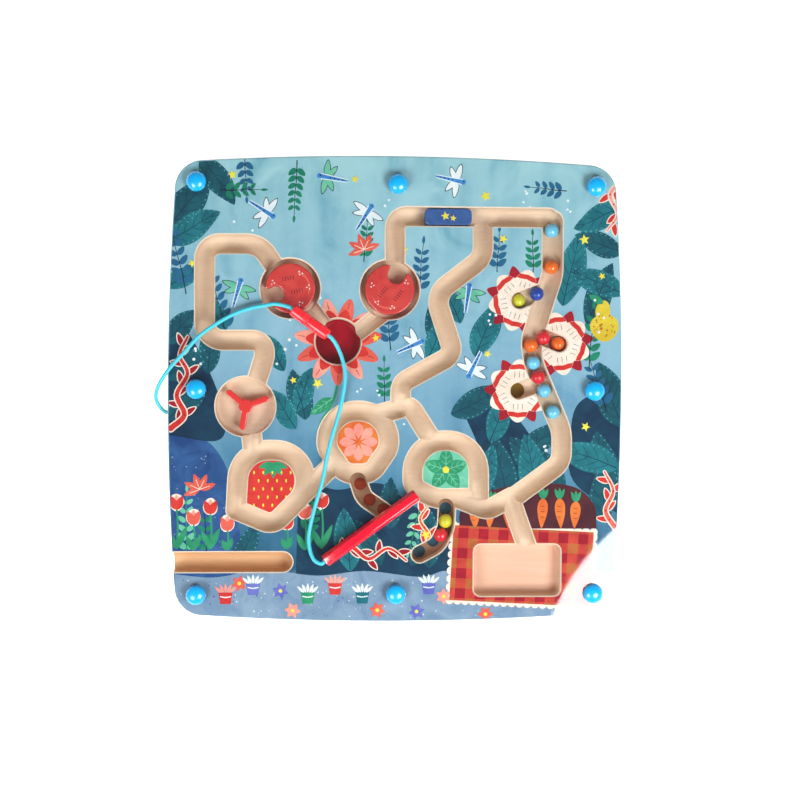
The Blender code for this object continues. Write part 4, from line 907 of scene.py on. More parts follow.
# Print: the flower round the crimson basin, on a leafy stem.
FLOWER = Vector((-38.7, 31.6))
for index in range(11):
    angle = 360 / 11 * index + 8
    ray = around(0, 0, 1, angle)
    root = FLOWER + 11.5 * ray
    ink("pink" if index % 2 else "salmon", 4, leaf(root.x, root.y, angle, 17.5, 9.6, 0, 0.62, 16, 0.5))
    root = FLOWER + 10.5 * ray
    ink("red", 5, leaf(root.x, root.y, angle + 5, 11, 8.4, 0, 0.62, 14, 0.55))
    at = leaf_places(FLOWER.x + 22 * ray.x, FLOWER.y + 22 * ray.y, angle, 5, 1)
    ink("crimson", 5, stroke([at(0, 0), at(0.5, 0), at(1, 0)], 0.6))
ink("leaf_green", 1, stroke([(-38.5, 6), (-42, -8), (-50, -22), (-52, -34)], 1.8, 1.2))
frond(-42, -6, 208, 18, 8, 2, "leaf_green", 2, "mint", None)
frond(-46, -16, 330, 17, 8, -2, "leaf_green", 2, "mint", None)

# Print: the fruit on the three islands. A strawberry, an orange cut across and a bellflower.
ink("red", 4, blob(-81.5, -63.5, 46, 46))
for row in range(5):
    for column in range(5):
        x, y = -81.5 + 6 * (column - 2) + 3 * (row % 2), -59 - 5.4 * (row - 1)
        ink("star", 8, leaf(x, y, 270, 2.4, 1.2, steps=6))
for angle in (198, 234, 270, 306, 342):
    ink("leaf_green", 5, leaf(-81, -48.5, angle, 10, 4.2, steps=8))
ink("orange", 4, blob(-25.4, -34.7, 40, 40))
for index in range(8):
    root = around(-25, -34.5, 1.6, 45 * index)
    ink("pink", 5, leaf(root.x, root.y, 45 * index, 11, 6.4, 0, 1.5, 10))
ink("mint", 4, blob(33, -52.8, 43, 40))
for index in range(5):
    frond(33, -52.8, 72 * index + 90, 15, 9, 0, "leaf_green", 5, "mint", None)
ink("star", 8, dot(33, -52.8, 2.2, 18))

# Print: cream blossoms round the three ball pockets, each petal with a red band.
PETAL_BAND = ((0.56, 0.99), (0.56, 0.5), (0.6, 0), (0.56, -0.5), (0.56, -0.99), (0.75, -0.99),
              (0.77, -0.5), (0.8, 0), (0.77, 0.5), (0.75, 0.99))
for pocket, turn in zip(pocket_places, (12, 40, 28)):
    for index in range(6):
        angle = turn + 60 * index
        root = around(pocket.x * 1000, pocket.y * 1000, 5, angle + 30)
        ink("crimson", 3, leaf(root.x, root.y, angle + 30, 18, 10, 0, 0.7, 14, 0.6))
        root = pocket * 1000 + 5 * around(0, 0, 1, angle)
        at = leaf_places(root.x, root.y, angle, 16, 15.5, 0, 0.62, 0.5)
        ink("cream", 4, leaf(root.x, root.y, angle, 16, 15.5, 0, 0.62, 20, 0.5))
        ink("red", 5, [at(along, across) for along, across in PETAL_BAND])
        for side in (-0.4, 0, 0.4):
            ink("ink", 5, stroke([at(0.24, side), at(0.36, side), at(0.48, side)], 0.35, 0.2))

# Print: a row of tulips over the pen's groove, and red vines with a cream rim at the edges.
for x, foot, height, name in (
        (-144, -105, 27, "red"), (-133, -106, 18, "salmon"), (-122, -105, 24, "red"),
        (-111, -106, 14, "salmon"), (-72, -105, 14, "red"), (-60, -106, 22, "salmon"),
        (-49, -105, 28, "red")):
    head = foot + height
    ink("leaf_green", 5, stroke([(x, foot), (x + 0.8, foot + height / 2), (x, head)], 1.4, 1.1),
        leaf(x, foot, 66, 0.62 * height, 4), leaf(x, foot, 116, 0.55 * height, 4))
    ink("cream", 5, blob(x, head + 3.6, 9.4, 11.4))
    for spread in (-24, 24, 0):
        ink(name if spread else "pink", 6, leaf(x, head - 1, 90 + spread, 9.6, 5.2, 0, 0.7, 10))
for paint_name, width, points in (
        ("red", 5.4, [(-148, -26), (-139, -17), (-144, -4), (-137, 10), (-142, 22), (-137, 34)]),
        ("salmon", 4.8, [(147, -92), (140, -80), (145, -67), (139, -54)]),
        ("red", 4.8, [(-42, -112), (-30, -104), (-18, -112), (-5, -105), (7, -113)]),
        ("orange", 4.2, [(17, -108), (22, -97), (16, -86), (21, -77)]),
        ("pink", 4.4, [(150, 140), (141, 130), (146, 117), (139, 106)])):
    ink("cream", 5, stroke(points, width, width * 0.5), dot(*points[0], width / 2),
        dot(*points[-1], width / 4))
    ink(paint_name, 6, stroke(points, width - 1.7, width * 0.5 - 1.3),
        dot(*points[0], width / 2 - 0.85), dot(*points[-1], width / 4 - 0.6))
    line = spline(points, 4)
    for index in range(2, len(line) - 1, 2):
        p, ahead = line[index], line[index + 1] - line[index - 1]
        heading = degrees(atan2(ahead.y, ahead.x)) + (48 if index % 4 else -48)
        ink("cream", 3, leaf(p.x, p.y, heading, 9.6, 4.8, 0, 0.75, 14, 0.6))
        ink("crimson" if paint_name == "red" else "red", 4,
            leaf(p.x, p.y, heading, 8.7, 3.4, 0, 0.75, 14, 0.6))
        ink("crimson", 7, dot(p.x, p.y, 0.55, 8))

# Print: a checked cloth under the long basin, and a bed of carrots behind it.
CLOTH = Vector((84, -117))
CLOTH_HALF = Vector((47, 25))
CLOTH_TURN = Matrix.Rotation(radians(-3), 2)
CHECK = 6.7
ink("plum", 4, spline([(42, -92), (44, -78), (62, -67), (90, -62), (118, -64), (132, -76),
                       (134, -92)], 8))
for x, height, lean in ((52, 15, 3), (63, 18, -3), (74, 19, 3), (98, 20, -3), (109, 20, 3),
                        (120, 18, -3)):
    ink("orange", 5, leaf(x, -92 + height, 270 + lean, height, 7, 0, 0.6))
    for step in range(3):
        y = -92 + height * (0.4 + 0.18 * step)
        ink("plum", 7, stroke([(x - 1.6, y), (x, y - 0.4), (x + 1.2, y)], 0.35, 0.2))
    for spread in (-24, 0, 24):
        ink("leaf_green", 5, leaf(x, -92.6 + height, 90 + spread, 8, 2.6, steps=8))


def cloth_patch(left, right, low, high):
    """A rectangle of the cloth, from distances off its middle."""
    corners = ((left, low), (right, low), (right, high), (left, high))
    return [CLOTH + CLOTH_TURN @ Vector(p) for p in corners]


for sign in (1, -1):
    scallops = [(5.2 * index, sign * CLOTH_HALF.y) for index in range(-9, 10)]
    scallops += [(sign * CLOTH_HALF.x, 5.4 * index) for index in range(-4, 5)]
    for scallop in scallops:
        p = CLOTH + CLOTH_TURN @ Vector(scallop)
        ink("cream", 4, dot(p.x, p.y, 2.8, 12))
ink("timber", 5, cloth_patch(-CLOTH_HALF.x, CLOTH_HALF.x, -CLOTH_HALF.y, CLOTH_HALF.y))
columns = [CHECK * (2 * index - 6.5) for index in range(7)]
rows = [CHECK * (2 * index - 3.5) for index in range(4)]
for left in columns:
    ink("plank", 6, cloth_patch(left, left + CHECK, -CLOTH_HALF.y, CLOTH_HALF.y))
for low in rows:
    ink("plank", 7, cloth_patch(-CLOTH_HALF.x, CLOTH_HALF.x, low, low + CHECK))
    for left in columns:
        ink("crimson", 8, cloth_patch(left, left + CHECK, low, low + CHECK))

# Print: small pots with tufts and blossoms on the path, a yellow pear and two red leaves.
pots = ((-112, "red"), (-94, "lilac"), (-58, "leaf_green"), (-40, "red"), (-22, "teal"), (22, "lilac"))
for index, (x, name) in enumerate(pots):
    y = -131 if index % 2 else -137
    ink(name, 5, [Vector((x + across, y + up))
                  for across, up in ((-4.6, 3), (4.6, 3), (3.4, -4.6), (-3.4, -4.6))])
    ink("white", 8, stroke([(x - 3.6, y + 0.4), (x, y - 0.2), (x + 3.6, y + 0.4)], 0.7, 0.7))
    for spread in (-48, -24, 0, 24, 48):
        ink("white" if index % 3 else "pink", 5,
            leaf(x + spread * 0.05, y + 2.8, 90 - spread, 6.2, 1.9, steps=8))
for x, y, name in ((-103, -128, "salmon"), (-76, -133, "lilac"), (-68, -146, "pink"),
                   (-12, -146, "salmon"), (14, -147, "lilac"), (32, -137, "pink"),
                   (60, -149, "salmon")):
    for index in range(6):
        ink(name, 5, leaf(x, y, 60 * index + x, 5.4, 3.2, 0, 0.7, 8))
    ink("star", 8, dot(x, y, 1.2, 12))
ink("yellow", 4, blob(138, 42, 19, 18), blob(137, 52, 10, 16))
for _ in range(26):
    angle, reach = random.uniform(0, 2 * pi), random.uniform(0, 1) ** 0.5
    ink("timber", 6, dot(138 + 8 * reach * cos(angle), 43 + 7.5 * reach * sin(angle),
                          random.uniform(0.35, 0.7), 8))
ink("leaf_green", 5, leaf(137, 58, 150, 11, 5))
for x, y in ((-129, -66), (-22, 92)):
    for angle in (20, 65, 110, 155, 200):
        ink("salmon", 4, leaf(x, y, angle, 11, 4.4, steps=10))
        ink("cream", 5, stroke([(x, y), around(x, y, 7, angle)], 0.5, 0.3))

# Print: the sheets. Each paint and layer makes one sheet, which is cut to the panel's dry land.
# Each sheet has a height of its own and its shapes take eight heights in turn, so few share a plane.
SHAPE_LEVELS = 8
order = sorted(print_shapes, key=lambda key: (key[1], key[0]))
for height, (name, layer) in enumerate(order):
    stacks = []
    for index, outline in enumerate(print_shapes[name, layer]):
        top = PANEL_TOP + PRINT_START + SHEET_STEP * height + SHAPE_STEP * (index % SHAPE_LEVELS)
        stacks.append(prism([p / 1000 for p in outline], PANEL_TOP, top))
    sheet = lofted("print_%s_%d" % (name, layer + 1), *stacks)
    cut = land.copy()
    bpy.context.scene.collection.objects.link(cut)
    carved(sheet, [cut], "INTERSECT")
    paint_name = "paint_" + name
    if paint_name not in bpy.data.materials:
        paint(paint_name, *PAINTS[name], 60.0)
    sheet.data.materials.append(bpy.data.materials[paint_name])
    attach(sheet, "board")
bpy.data.objects.remove(land)

# Steel. The axle pins of the discs and the spinner, the cover's screws and the pen's magnet are
# mostly hidden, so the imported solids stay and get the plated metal.
mottle, g_in, g_out = effect(
    "mottle", (("Light", "Color"), ("Dark", "Color"), ("Scale", "Float"), ("Detail", "Float"),
               ("Grain", "Float"), ("Least", "Float"), ("Most", "Float")),
    (("Colour", "Color"), ("Shine", "Float"), ("Height", "Float")))
place = add(mottle, "TexCoord").outputs["Object"]
spots = noise(mottle, place, g_in.outputs["Scale"], g_in.outputs["Detail"],
              Roughness=g_in.outputs["Grain"])
feed(mottle, g_out, {
    "Colour": mixed(mottle, spots, g_in.outputs["Light"], g_in.outputs["Dark"]),
    "Shine": ranged(mottle, spots, 0.0, 1.0, g_in.outputs["Least"], g_in.outputs["Most"]),
    "Height": spots})


def mottled(name, light, dark, scale, roughness, detail=3.0, shine=None, relief=None, grain=0.5,
            **settings):
    """A material whose colour, and shine and relief if given, vary with one fine noise."""
    material, tree, shader = finish(name, roughness, **settings)
    least, most = shine or (roughness, roughness)
    spots = use(tree, mottle, {"Light": colour(*light), "Dark": colour(*dark), "Scale": scale,
                               "Detail": detail, "Grain": grain, "Least": least, "Most": most})
    feed(tree, shader, {"Base Color": spots.outputs["Colour"]})
    if shine:
        feed(tree, shader, {"Roughness": spots.outputs["Shine"]})
    if relief:
        bump = add(tree, "Bump", {"Height": spots.outputs["Height"], "Strength": relief[0],
                                  "Distance": relief[1]})
        feed(tree, shader, {"Normal": bump.outputs[0]})
    return material


steel = mottled("plated_steel", (205, 205, 208), (170, 170, 176), 900.0, 0.3,
                shine=(0.22, 0.42), metallic=1.0)
for name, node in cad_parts.items():
    if "_pin" in name or name.startswith("cover_screw") or name == "pen_magnet":
        node.data.materials.clear()
        node.data.materials.append(steel)

# Notched discs. Thick red lacquered wooden discs that turn on their pins, each with a deep round
# notch that takes one ball round. The edge is rounded and the top is printed with small marks,
# and a pale salmon stroke near the rim is a painted sheen on the lacquer.
DISC_LOW, DISC_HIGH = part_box("disc_left")
DISC_RADIUS = 0.0164
DISC_EDGE = 0.0008
NOTCH_RADIUS = 0.0057
NOTCH_CENTRE = 0.0105
NOTCH_LIP_RADIUS = 0.0014
DISC_STEPS = 72
NOTCH_STEPS = 28
LIP_STEPS = 8
DISC_BORE_TOP = DISC_HIGH.z - 0.0047
NOTCH_HEADINGS = {"left": radians(204), "right": radians(66)}


def notched_outline(inset):
    """A disc with a round-bottomed notch open to its rim, notch along +X."""
    rim = DISC_RADIUS - inset
    notch = NOTCH_RADIUS + inset
    lip = NOTCH_LIP_RADIUS - inset
    lip_y = notch + lip
    lip_x = sqrt((rim - lip) ** 2 - lip_y ** 2)
    lean = atan2(lip_y, lip_x)
    body = arc((0, 0), rim, lean, 2 * pi - lean, DISC_STEPS)
    lower_lip = arc((lip_x, -lip_y), lip, -lean, pi / 2, LIP_STEPS)[1:]
    hollow = arc((NOTCH_CENTRE, 0), notch, -pi / 2, -3 * pi / 2, NOTCH_STEPS)
    upper_lip = arc((lip_x, lip_y), lip, -pi / 2, lean, LIP_STEPS)[:-1]
    return body + lower_lip + hollow + upper_lip


def printed(name, paint_name, outlines, height):
    """Shapes of paint, in millimetres, laid on a level surface."""
    stacks = []
    for index, outline in enumerate(outlines):
        base = height + PRINT_START + SHAPE_STEP * index
        stacks.append(prism([p / 1000 for p in outline], base, base + PRINT_THICKNESS))
    return lofted(name, *stacks, material=bpy.data.materials["paint_" + paint_name])


# White dots and plum strokes are print; the pale salmon stroke near the rim is a painted sheen.
disc_prints_and_sheen = {"white": [], "plum": [],
              "salmon": [stroke([(-9, -8), (-12, -3), (-12.5, 3), (-9.5, 8)], 1.7, 0.8)]}
for angle in (100, 160, 212, 318):
    for offset, reach in ((-5, 12.6), (0, 10.9), (6, 12.4)):
        turn = radians(angle + offset)
        disc_prints_and_sheen["white"].append(dot(reach * cos(turn), reach * sin(turn), 0.45, 10))
for x, y in ((-7, 3), (-5, -7)):
    for step in range(5):
        foot = Vector((x + 1.7 * step, y - 0.4 * step))
        course = [foot, foot + Vector((0.2, 1.3)), foot + Vector((0.7, 2.6))]
        disc_prints_and_sheen["plum"].append(stroke(course, 0.5, 0.3))
red_lacquer = paint("red_disc_paint", (224, 68, 60), (204, 44, 44), 90.0, 0.3, 0.4, coat=0.3)
for side, share in (("left", ROOM_SHARES[0]), ("right", ROOM_SHARES[1])):
    red_disc = eased_slab("red_disc_" + side, notched_outline, DISC_EDGE, DISC_LOW.z, DISC_HIGH.z)
    bore = rod(PIN_HOLE_RADIUS, DISC_LOW.z - OVERRUN, DISC_BORE_TOP)
    carved(red_disc, [turned("tool", bore, steps=HOLE_STEPS)])
    red_disc.data.materials.append(red_lacquer)
    red_disc.matrix_world = (Matrix.Translation(at_share(share).to_3d())
                             @ Matrix.Rotation(NOTCH_HEADINGS[side], 4, "Z"))
    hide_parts("disc_" + side)
    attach(red_disc, "disc_" + side)
    for name, outlines in disc_prints_and_sheen.items():
        marks = printed("disc_%s_%s" % (side, name), name, outlines, DISC_HIGH.z)
        marks.matrix_world = red_disc.matrix_world
        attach(marks, "disc_" + side)

# Spinner. A bright red moulded gate of three round-ended arms on a hub, with a boss under it
# that stands on the room's floor and turns on a steel pin.
SPINNER_HEADING = radians(20.9)
SPINNER_REACH = 0.0159
ARM_HALF = 0.002
HUB_RADIUS = 0.0046
BOSS_RADIUS = 0.0037
SPINNER_EDGE = 0.0007
SPINNER_LOW, SPINNER_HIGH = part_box("spinner")
ARM_THICKNESS = 0.0045
ARM_STEPS = 16
HUB_STEPS = 12
BOSS_STEPS = 32
SPINNER_BORE_TOP = SPINNER_HIGH.z - 0.0013


def arms_outline(inset):
    """Three round-ended arms on a round hub."""
    hub = HUB_RADIUS - inset
    half = ARM_HALF - inset
    tip = SPINNER_REACH - ARM_HALF
    root = asin(half / hub)
    third = 2 * pi / 3
    points = []
    for index in range(3):
        turn = Matrix.Rotation(third * index, 2)
        arm = [Vector((hub * cos(root), -half))]
        arm += arc((tip, 0), half, -pi / 2, pi / 2, ARM_STEPS)
        points += [turn @ p for p in arm + arc((0, 0), hub, root, third - root, HUB_STEPS)[:-1]]
    return points


spinner = eased_slab("red_spinner", arms_outline, SPINNER_EDGE,
                     SPINNER_HIGH.z - ARM_THICKNESS, SPINNER_HIGH.z)
boss = rod(BOSS_RADIUS, SPINNER_LOW.z, SPINNER_HIGH.z - ARM_THICKNESS / 2)
carved(spinner, [turned("tool", boss, steps=BOSS_STEPS)], "UNION")
bore = rod(PIN_HOLE_RADIUS, SPINNER_LOW.z - OVERRUN, SPINNER_BORE_TOP)
carved(spinner, [turned("tool", bore, steps=HOLE_STEPS)])
spinner.data.materials.append(mottled("red_plastic", (240, 52, 46), (228, 40, 38), 300.0, 0.35,
                                      shine=(0.28, 0.44), coat=0.2))
spinner.matrix_world = (Matrix.Translation(at_share(ROOM_SHARES[2]).to_3d())
                        @ Matrix.Rotation(SPINNER_HEADING, 4, "Z"))
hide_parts("spinner")
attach(spinner, "spinner")

# Slider. A dark blue lacquered wooden block that fills the top channel, with a keel that follows
# the channel's round floor, and two printed stars.
SLIDER_LOW, SLIDER_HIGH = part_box("slider_block")
SLIDER_EDGE = 0.0006
SLIDER_CORNER_RADIUS = 0.003
SLIDER_CORNER_STEPS = 8
SLIDER_PLAY = 0.0004
KEEL_PLAY = 0.0004
KEEL_STEPS = 20
slider_length = SLIDER_HIGH.x - SLIDER_LOW.x - SLIDER_PLAY
slider_width = SLIDER_HIGH.y - SLIDER_LOW.y
slider_place = Vector(((SLIDER_LOW.x + SLIDER_HIGH.x) / 2, (SLIDER_LOW.y + SLIDER_HIGH.y) / 2))
slider_rings = ((0, PANEL_TOP - GROOVE_DEPTH), (0, SLIDER_HIGH.z - SLIDER_EDGE),
                (SLIDER_EDGE * EASE_SHARE, SLIDER_HIGH.z - SLIDER_EDGE * EASE_SHARE),
                (SLIDER_EDGE, SLIDER_HIGH.z))
outlines = [round_box(slider_length - 2 * inset, slider_width - 2 * inset,
                      SLIDER_CORNER_RADIUS - inset, SLIDER_CORNER_STEPS) for inset, _ in slider_rings]
slider = lofted("blue_slider", stack(outlines, [z for _, z in slider_rings]))
keel_radius = GROOVE_WIDTH / 2 - KEEL_PLAY
keel_middle = PANEL_TOP - GROOVE_DEPTH + GROOVE_WIDTH / 2
section = arc((0, keel_middle), keel_radius, pi, 2 * pi, KEEL_STEPS)
section += [Vector((side * keel_radius, SLIDER_HIGH.z + OVERRUN)) for side in (1, -1)]
keel_reach = slider_length / 2 + OVERRUN
keel_ends = [[(x, p.x, p.y) for p in section] for x in (-keel_reach, keel_reach)]
carved(slider, [lofted("tool_keel", keel_ends)], "INTERSECT")
slider.data.materials.append(paint("slider_paint", (56, 100, 166), (40, 80, 146), 150.0, 0.3, 0.42,
                                   coat=0.25))
slider.matrix_world = Matrix.Translation(slider_place.to_3d())
slider_stars = printed("slider_stars", "star", [star(-1.9, 0.5, 3.0, 100), star(3.2, -0.9, 2.2, 80)],
                       SLIDER_HIGH.z)
slider_stars.matrix_world = slider.matrix_world
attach(slider_stars, "slider")
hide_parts("slider_block")
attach(slider, "slider")

# Balls. Thirteen small steel balls under thick glossy enamel, so that the magnet can pull them.
BALL_SEGMENTS = 40
BALL_RINGS = 24
BALL_COLOURS = {"light_blue": ((126, 214, 248), (100, 196, 238)),
                "orange": ((255, 124, 36), (244, 104, 20)), "navy": ((26, 76, 182), (16, 60, 160)),
                "yellow": ((226, 222, 54), (206, 200, 36)), "red": ((240, 44, 58), (224, 28, 44))}
BALL_ORDER = ("light_blue", "orange", "navy", "yellow", "red", "orange", "orange", "light_blue", "red",
              "light_blue", "light_blue", "yellow", "red")
ball_enamel = {name: mottled("enamel_" + name, *tones, 260.0, 0.15, 4.0, shine=(0.08, 0.2),
                             relief=(0.05, 0.0002), coat=0.4)
               for name, tones in BALL_COLOURS.items()}
for index, name in enumerate(BALL_ORDER):
    node = "ball_%02d" % (index + 1)
    low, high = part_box(node)
    bm = bmesh.new()
    bmesh.ops.create_uvsphere(bm, u_segments=BALL_SEGMENTS, v_segments=BALL_RINGS,
                              radius=(high.z - low.z) / 2)
    ball = piece_from(bm, "enamel_ball_%02d" % (index + 1), ball_enamel[name])
    ball.location = ((low.x + high.x) / 2, (low.y + high.y) / 2, (low.z + high.z) / 2)
    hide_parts(node)
    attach(ball, node)

# Cover. A clear acrylic sheet cut to the board's outline, its edge polished round, with a hole
# for each screw.
COVER_LOW, COVER_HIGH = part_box("cover_sheet")
COVER_EDGE = 0.0005
COVER_HOLE_RADIUS = 0.0021
COVER_SHINE = 0.03
cover = eased_slab("clear_cover", board_outline, COVER_EDGE, COVER_LOW.z, COVER_HIGH.z)
cover_hole = rod(COVER_HOLE_RADIUS, COVER_LOW.z - OVERRUN, COVER_HIGH.z + OVERRUN)
carved(cover, [turned("tool", cover_hole, place, HOLE_STEPS) for place in screw_places.values()])
acrylic, tree, shader = finish("clear_acrylic", COVER_SHINE)
tree.nodes.remove(shader)
clear = add(tree, "BsdfTransparent", {"Color": (0.9, 0.912, 0.914, 1)})
mirror = add(tree, "BsdfGlossy", {"Color": (1, 1, 1, 1), "Roughness": COVER_SHINE})
outer_face = maths(tree, "SUBTRACT", 1.0, add(tree, "NewGeometry").outputs["Backfacing"])
mirrored = maths(tree, "MULTIPLY", add(tree, "Fresnel", {"IOR": 1.6}).outputs[0], outer_face)
both = add(tree, "MixShader", {0: mirrored, 1: clear.outputs[0], 2: mirror.outputs[0]})
feed(tree, tree.nodes["Material Output"], {"Surface": both.outputs[0]})
cover.data.materials.append(acrylic)
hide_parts("cover_sheet")
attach(cover, "board")

# Screw caps. Eight bright blue domed plastic caps that snap over the screw heads.
CAP_LOW, CAP_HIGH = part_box("cover_cap_top_left")
CAP_RADIUS = (CAP_HIGH.x - CAP_LOW.x) / 2
CAP_RIM = 0.0012
CAP_HOLLOW_RADIUS = 0.0042
CAP_ROOF = CAP_LOW.z + 0.0028
CAP_FOOT = ((0.0004, 0), (0.0001, 0.0002), (0, 0.0005))
CAP_STEPS = 14
cap_profile = [(0, CAP_ROOF), (CAP_HOLLOW_RADIUS, CAP_ROOF), (CAP_HOLLOW_RADIUS, CAP_LOW.z)]
cap_profile += [(CAP_RADIUS - inset, CAP_LOW.z + rise) for inset, rise in CAP_FOOT]
dome = CAP_HIGH.z - CAP_LOW.z - CAP_RIM
for step in range(CAP_STEPS):
    rise = pi / 2 * step / CAP_STEPS
    cap_profile.append((CAP_RADIUS * cos(rise), CAP_LOW.z + CAP_RIM + dome * sin(rise)))
cap_profile.append((0, CAP_HIGH.z))
cap_blue = mottled("cap_plastic", (0, 168, 232), (0, 152, 218), 220.0, 0.28,
                   shine=(0.2, 0.36), coat=0.35)
for name, place in screw_places.items():
    cap = turned("blue_cap_" + name, cap_profile, material=cap_blue)
    cap.location = place.to_3d()
    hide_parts("cover_cap_" + name)
    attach(cap, "board")

# Cord and clasp. A soft round cyan cord leaves a hole in the board's left side and ends in the
# socket of a red plastic safety clasp. The clasp's plug holds the cord on to the pen.
CORD_DIAMETER = 0.0026
CORD_GAP = 0.0003
CLASP_DIAMETER = 0.0078
SOCKET_LENGTH = 0.0129
PLUG_LENGTH = 0.0156
CLASP_SHARE = (-0.2287, 0.170)
CLASP_HEADING = radians(-35.7)
CLASP_BORE_DEPTH = 0.004
PEN_SHARE = (-0.1557, -0.3658)
PEN_HEADING = radians(36.0)
PEN_LENGTH = 0.0742
PEN_ACROSS_CORNERS = 0.0087
BOARD_SIDE_ROUTE = (
    (-0.1535, -0.0147, 0.0076), (-0.1559, -0.0118, 0.0082), (-0.1578, -0.0076, 0.0104),
    (-0.1577, -0.0033, 0.0133), (-0.1558, 0.0016, 0.0166), (-0.1529, 0.0066, 0.0193),
    (-0.1492, 0.0119, 0.0204), (-0.1445, 0.0176, 0.0200), (-0.1385, 0.0240, 0.0199),
    (-0.1288, 0.0347, 0.0199), (-0.1161, 0.0437, 0.0199), (-0.1060, 0.0492, 0.0199),
    (-0.0960, 0.0528, 0.0199), (-0.0870, 0.0546, 0.0200), (-0.0795, 0.0557, 0.0207))
PEN_SIDE_ROUTE = (
    (-0.0395, 0.0286, 0.0211), (-0.0362, 0.0208, 0.0201), (-0.0343, 0.0126, 0.0199),
    (-0.0341, 0.0054, 0.0199), (-0.0351, -0.0016, 0.0199), (-0.0371, -0.0117, 0.0199),
    (-0.0397, -0.0217, 0.0199), (-0.0427, -0.0318, 0.0199), (-0.0457, -0.0444, 0.0199),
    (-0.0487, -0.0605, 0.0199), (-0.0526, -0.0738, 0.0199), (-0.0560, -0.0873, 0.0199),
    (-0.0575, -0.0973, 0.0200), (-0.0568, -0.1045, 0.0204), (-0.0554, -0.1090, 0.0210),
    (-0.0532, -0.1122, 0.0217))
CORD_STEP = 0.0012
CURVE_STEPS = 24
cord_hole_place = Vector((-BOARD_WIDTH / 2, CORD_HOLE_Y_SHARE * BOARD_LENGTH, CORD_HOLE_HEIGHT))
clasp_axis = Vector((cos(CLASP_HEADING), sin(CLASP_HEADING), 0))
clasp_radius = CLASP_DIAMETER / 2
clasp_start = at_share(CLASP_SHARE).to_3d() + Vector((0, 0, COVER_HIGH.z + CORD_GAP + clasp_radius))
clasp_seam = clasp_start + clasp_axis * (SOCKET_LENGTH + CORD_GAP)
clasp_end = clasp_seam + clasp_axis * PLUG_LENGTH
pen_axis = Vector((cos(PEN_HEADING), sin(PEN_HEADING), 0))
pen_apothem = PEN_ACROSS_CORNERS / 2 * cos(pi / 6)
pen_start = at_share(PEN_SHARE).to_3d() + Vector((0, 0, COVER_HIGH.z + CORD_GAP + pen_apothem))


def smooth_route(points):
    """Even points along a smooth curve through a cord's route, and the curve's length."""
    dense = spline(points, CURVE_STEPS)
    total = sum((b - a).length for a, b in zip(dense, dense[1:]))
    count = round(total / CORD_STEP)
    even = [dense[0]]
    passed = 0
    for a, b in zip(dense, dense[1:]):
        passed += (b - a).length
        if passed >= total * len(even) / count and len(even) < count:
            even.append(b)
    return even + [dense[-1]], total


cord_cyan = mottled("cyan_cord", (70, 192, 208), (44, 168, 188), 1600.0, 0.5,
                    relief=(0.25, 0.0002), grain=0.6)
into_board = Vector((1, 0, 0))
tuck = CLASP_BORE_DEPTH - CORD_GAP
cord_points = {
    "cord_board_side": [cord_hole_place + into_board * (CORD_HOLE_DEPTH - CORD_GAP),
                        cord_hole_place + into_board * CORD_DIAMETER,
                        cord_hole_place - into_board * CORD_DIAMETER / 2, *BOARD_SIDE_ROUTE,
                        clasp_start - clasp_axis * CORD_DIAMETER, clasp_start,
                        clasp_start + clasp_axis * tuck],
    "cord_pen_side": [clasp_end - clasp_axis * tuck, clasp_end, clasp_end + clasp_axis * CORD_DIAMETER,
                      *PEN_SIDE_ROUTE, pen_start - pen_axis * (CORD_DIAMETER + CORD_GAP),
                      pen_start - pen_axis * CORD_GAP],
}
for name, points in cord_points.items():
    places, length = smooth_route(points)
    line = bpy.data.curves.new("cyan_" + name, "CURVE")
    line.dimensions = "3D"
    line.bevel_depth = CORD_DIAMETER / 2
    line.bevel_resolution = 6
    line.use_fill_caps = True
    course = line.splines.new("POLY")
    course.points.add(len(places) - 1)
    for point, place in zip(course.points, places):
        point.co = (*place, 1)
    course.use_smooth = True
    line.materials.append(cord_cyan)
    tube = shown("tube", line)
    strand = shown("cyan_" + name, bpy.data.meshes.new_from_object(tube))
    bpy.data.objects.remove(tube)
    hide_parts(name)
    if name == "cord_board_side":
        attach(strand, "board")
    else:
        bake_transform(strand)


def lay_along(piece, place, axis):
    """Lay a piece that was turned about its own Z so that Z points along an axis."""
    up = Vector((0, 0, 1))
    turn = Matrix((up.cross(axis), up, axis)).transposed()
    piece.matrix_world = Matrix.Translation(place) @ turn.to_4x4()


clasp_red = mottled("clasp_plastic", (250, 42, 52), (236, 28, 40), 350.0, 0.25,
                    shine=(0.2, 0.34), coat=0.3)
bore = CORD_HOLE_RADIUS
END_ROUND = 0.0012
END_STEPS = 6
SEAM_ROUND = 0.0004
SEAM_FACET = 0.0001
PIN_ROOM_RADIUS = 0.0027
PIN_ROOM_DEPTH = 0.0053
PLUG_PIN_RADIUS = 0.0024
PLUG_PIN_TIP_RADIUS = 0.0021
PLUG_PIN_LENGTH = 0.0047
PLUG_PIN_CHAMFER_HEIGHT = 0.0044
end_round = [(clasp_radius - END_ROUND * (1 - sin(a)), END_ROUND * (1 - cos(a)))
             for a in (pi / 2 * step / END_STEPS for step in range(END_STEPS + 1))]
socket_profile = [(0, CLASP_BORE_DEPTH), (bore, CLASP_BORE_DEPTH), (bore, 0), *end_round,
                  (clasp_radius, SOCKET_LENGTH - SEAM_ROUND),
                  (clasp_radius - SEAM_FACET, SOCKET_LENGTH - SEAM_FACET),
                  (clasp_radius - SEAM_ROUND, SOCKET_LENGTH), (PIN_ROOM_RADIUS, SOCKET_LENGTH),
                  (PIN_ROOM_RADIUS, SOCKET_LENGTH - PIN_ROOM_DEPTH),
                  (0, SOCKET_LENGTH - PIN_ROOM_DEPTH)]
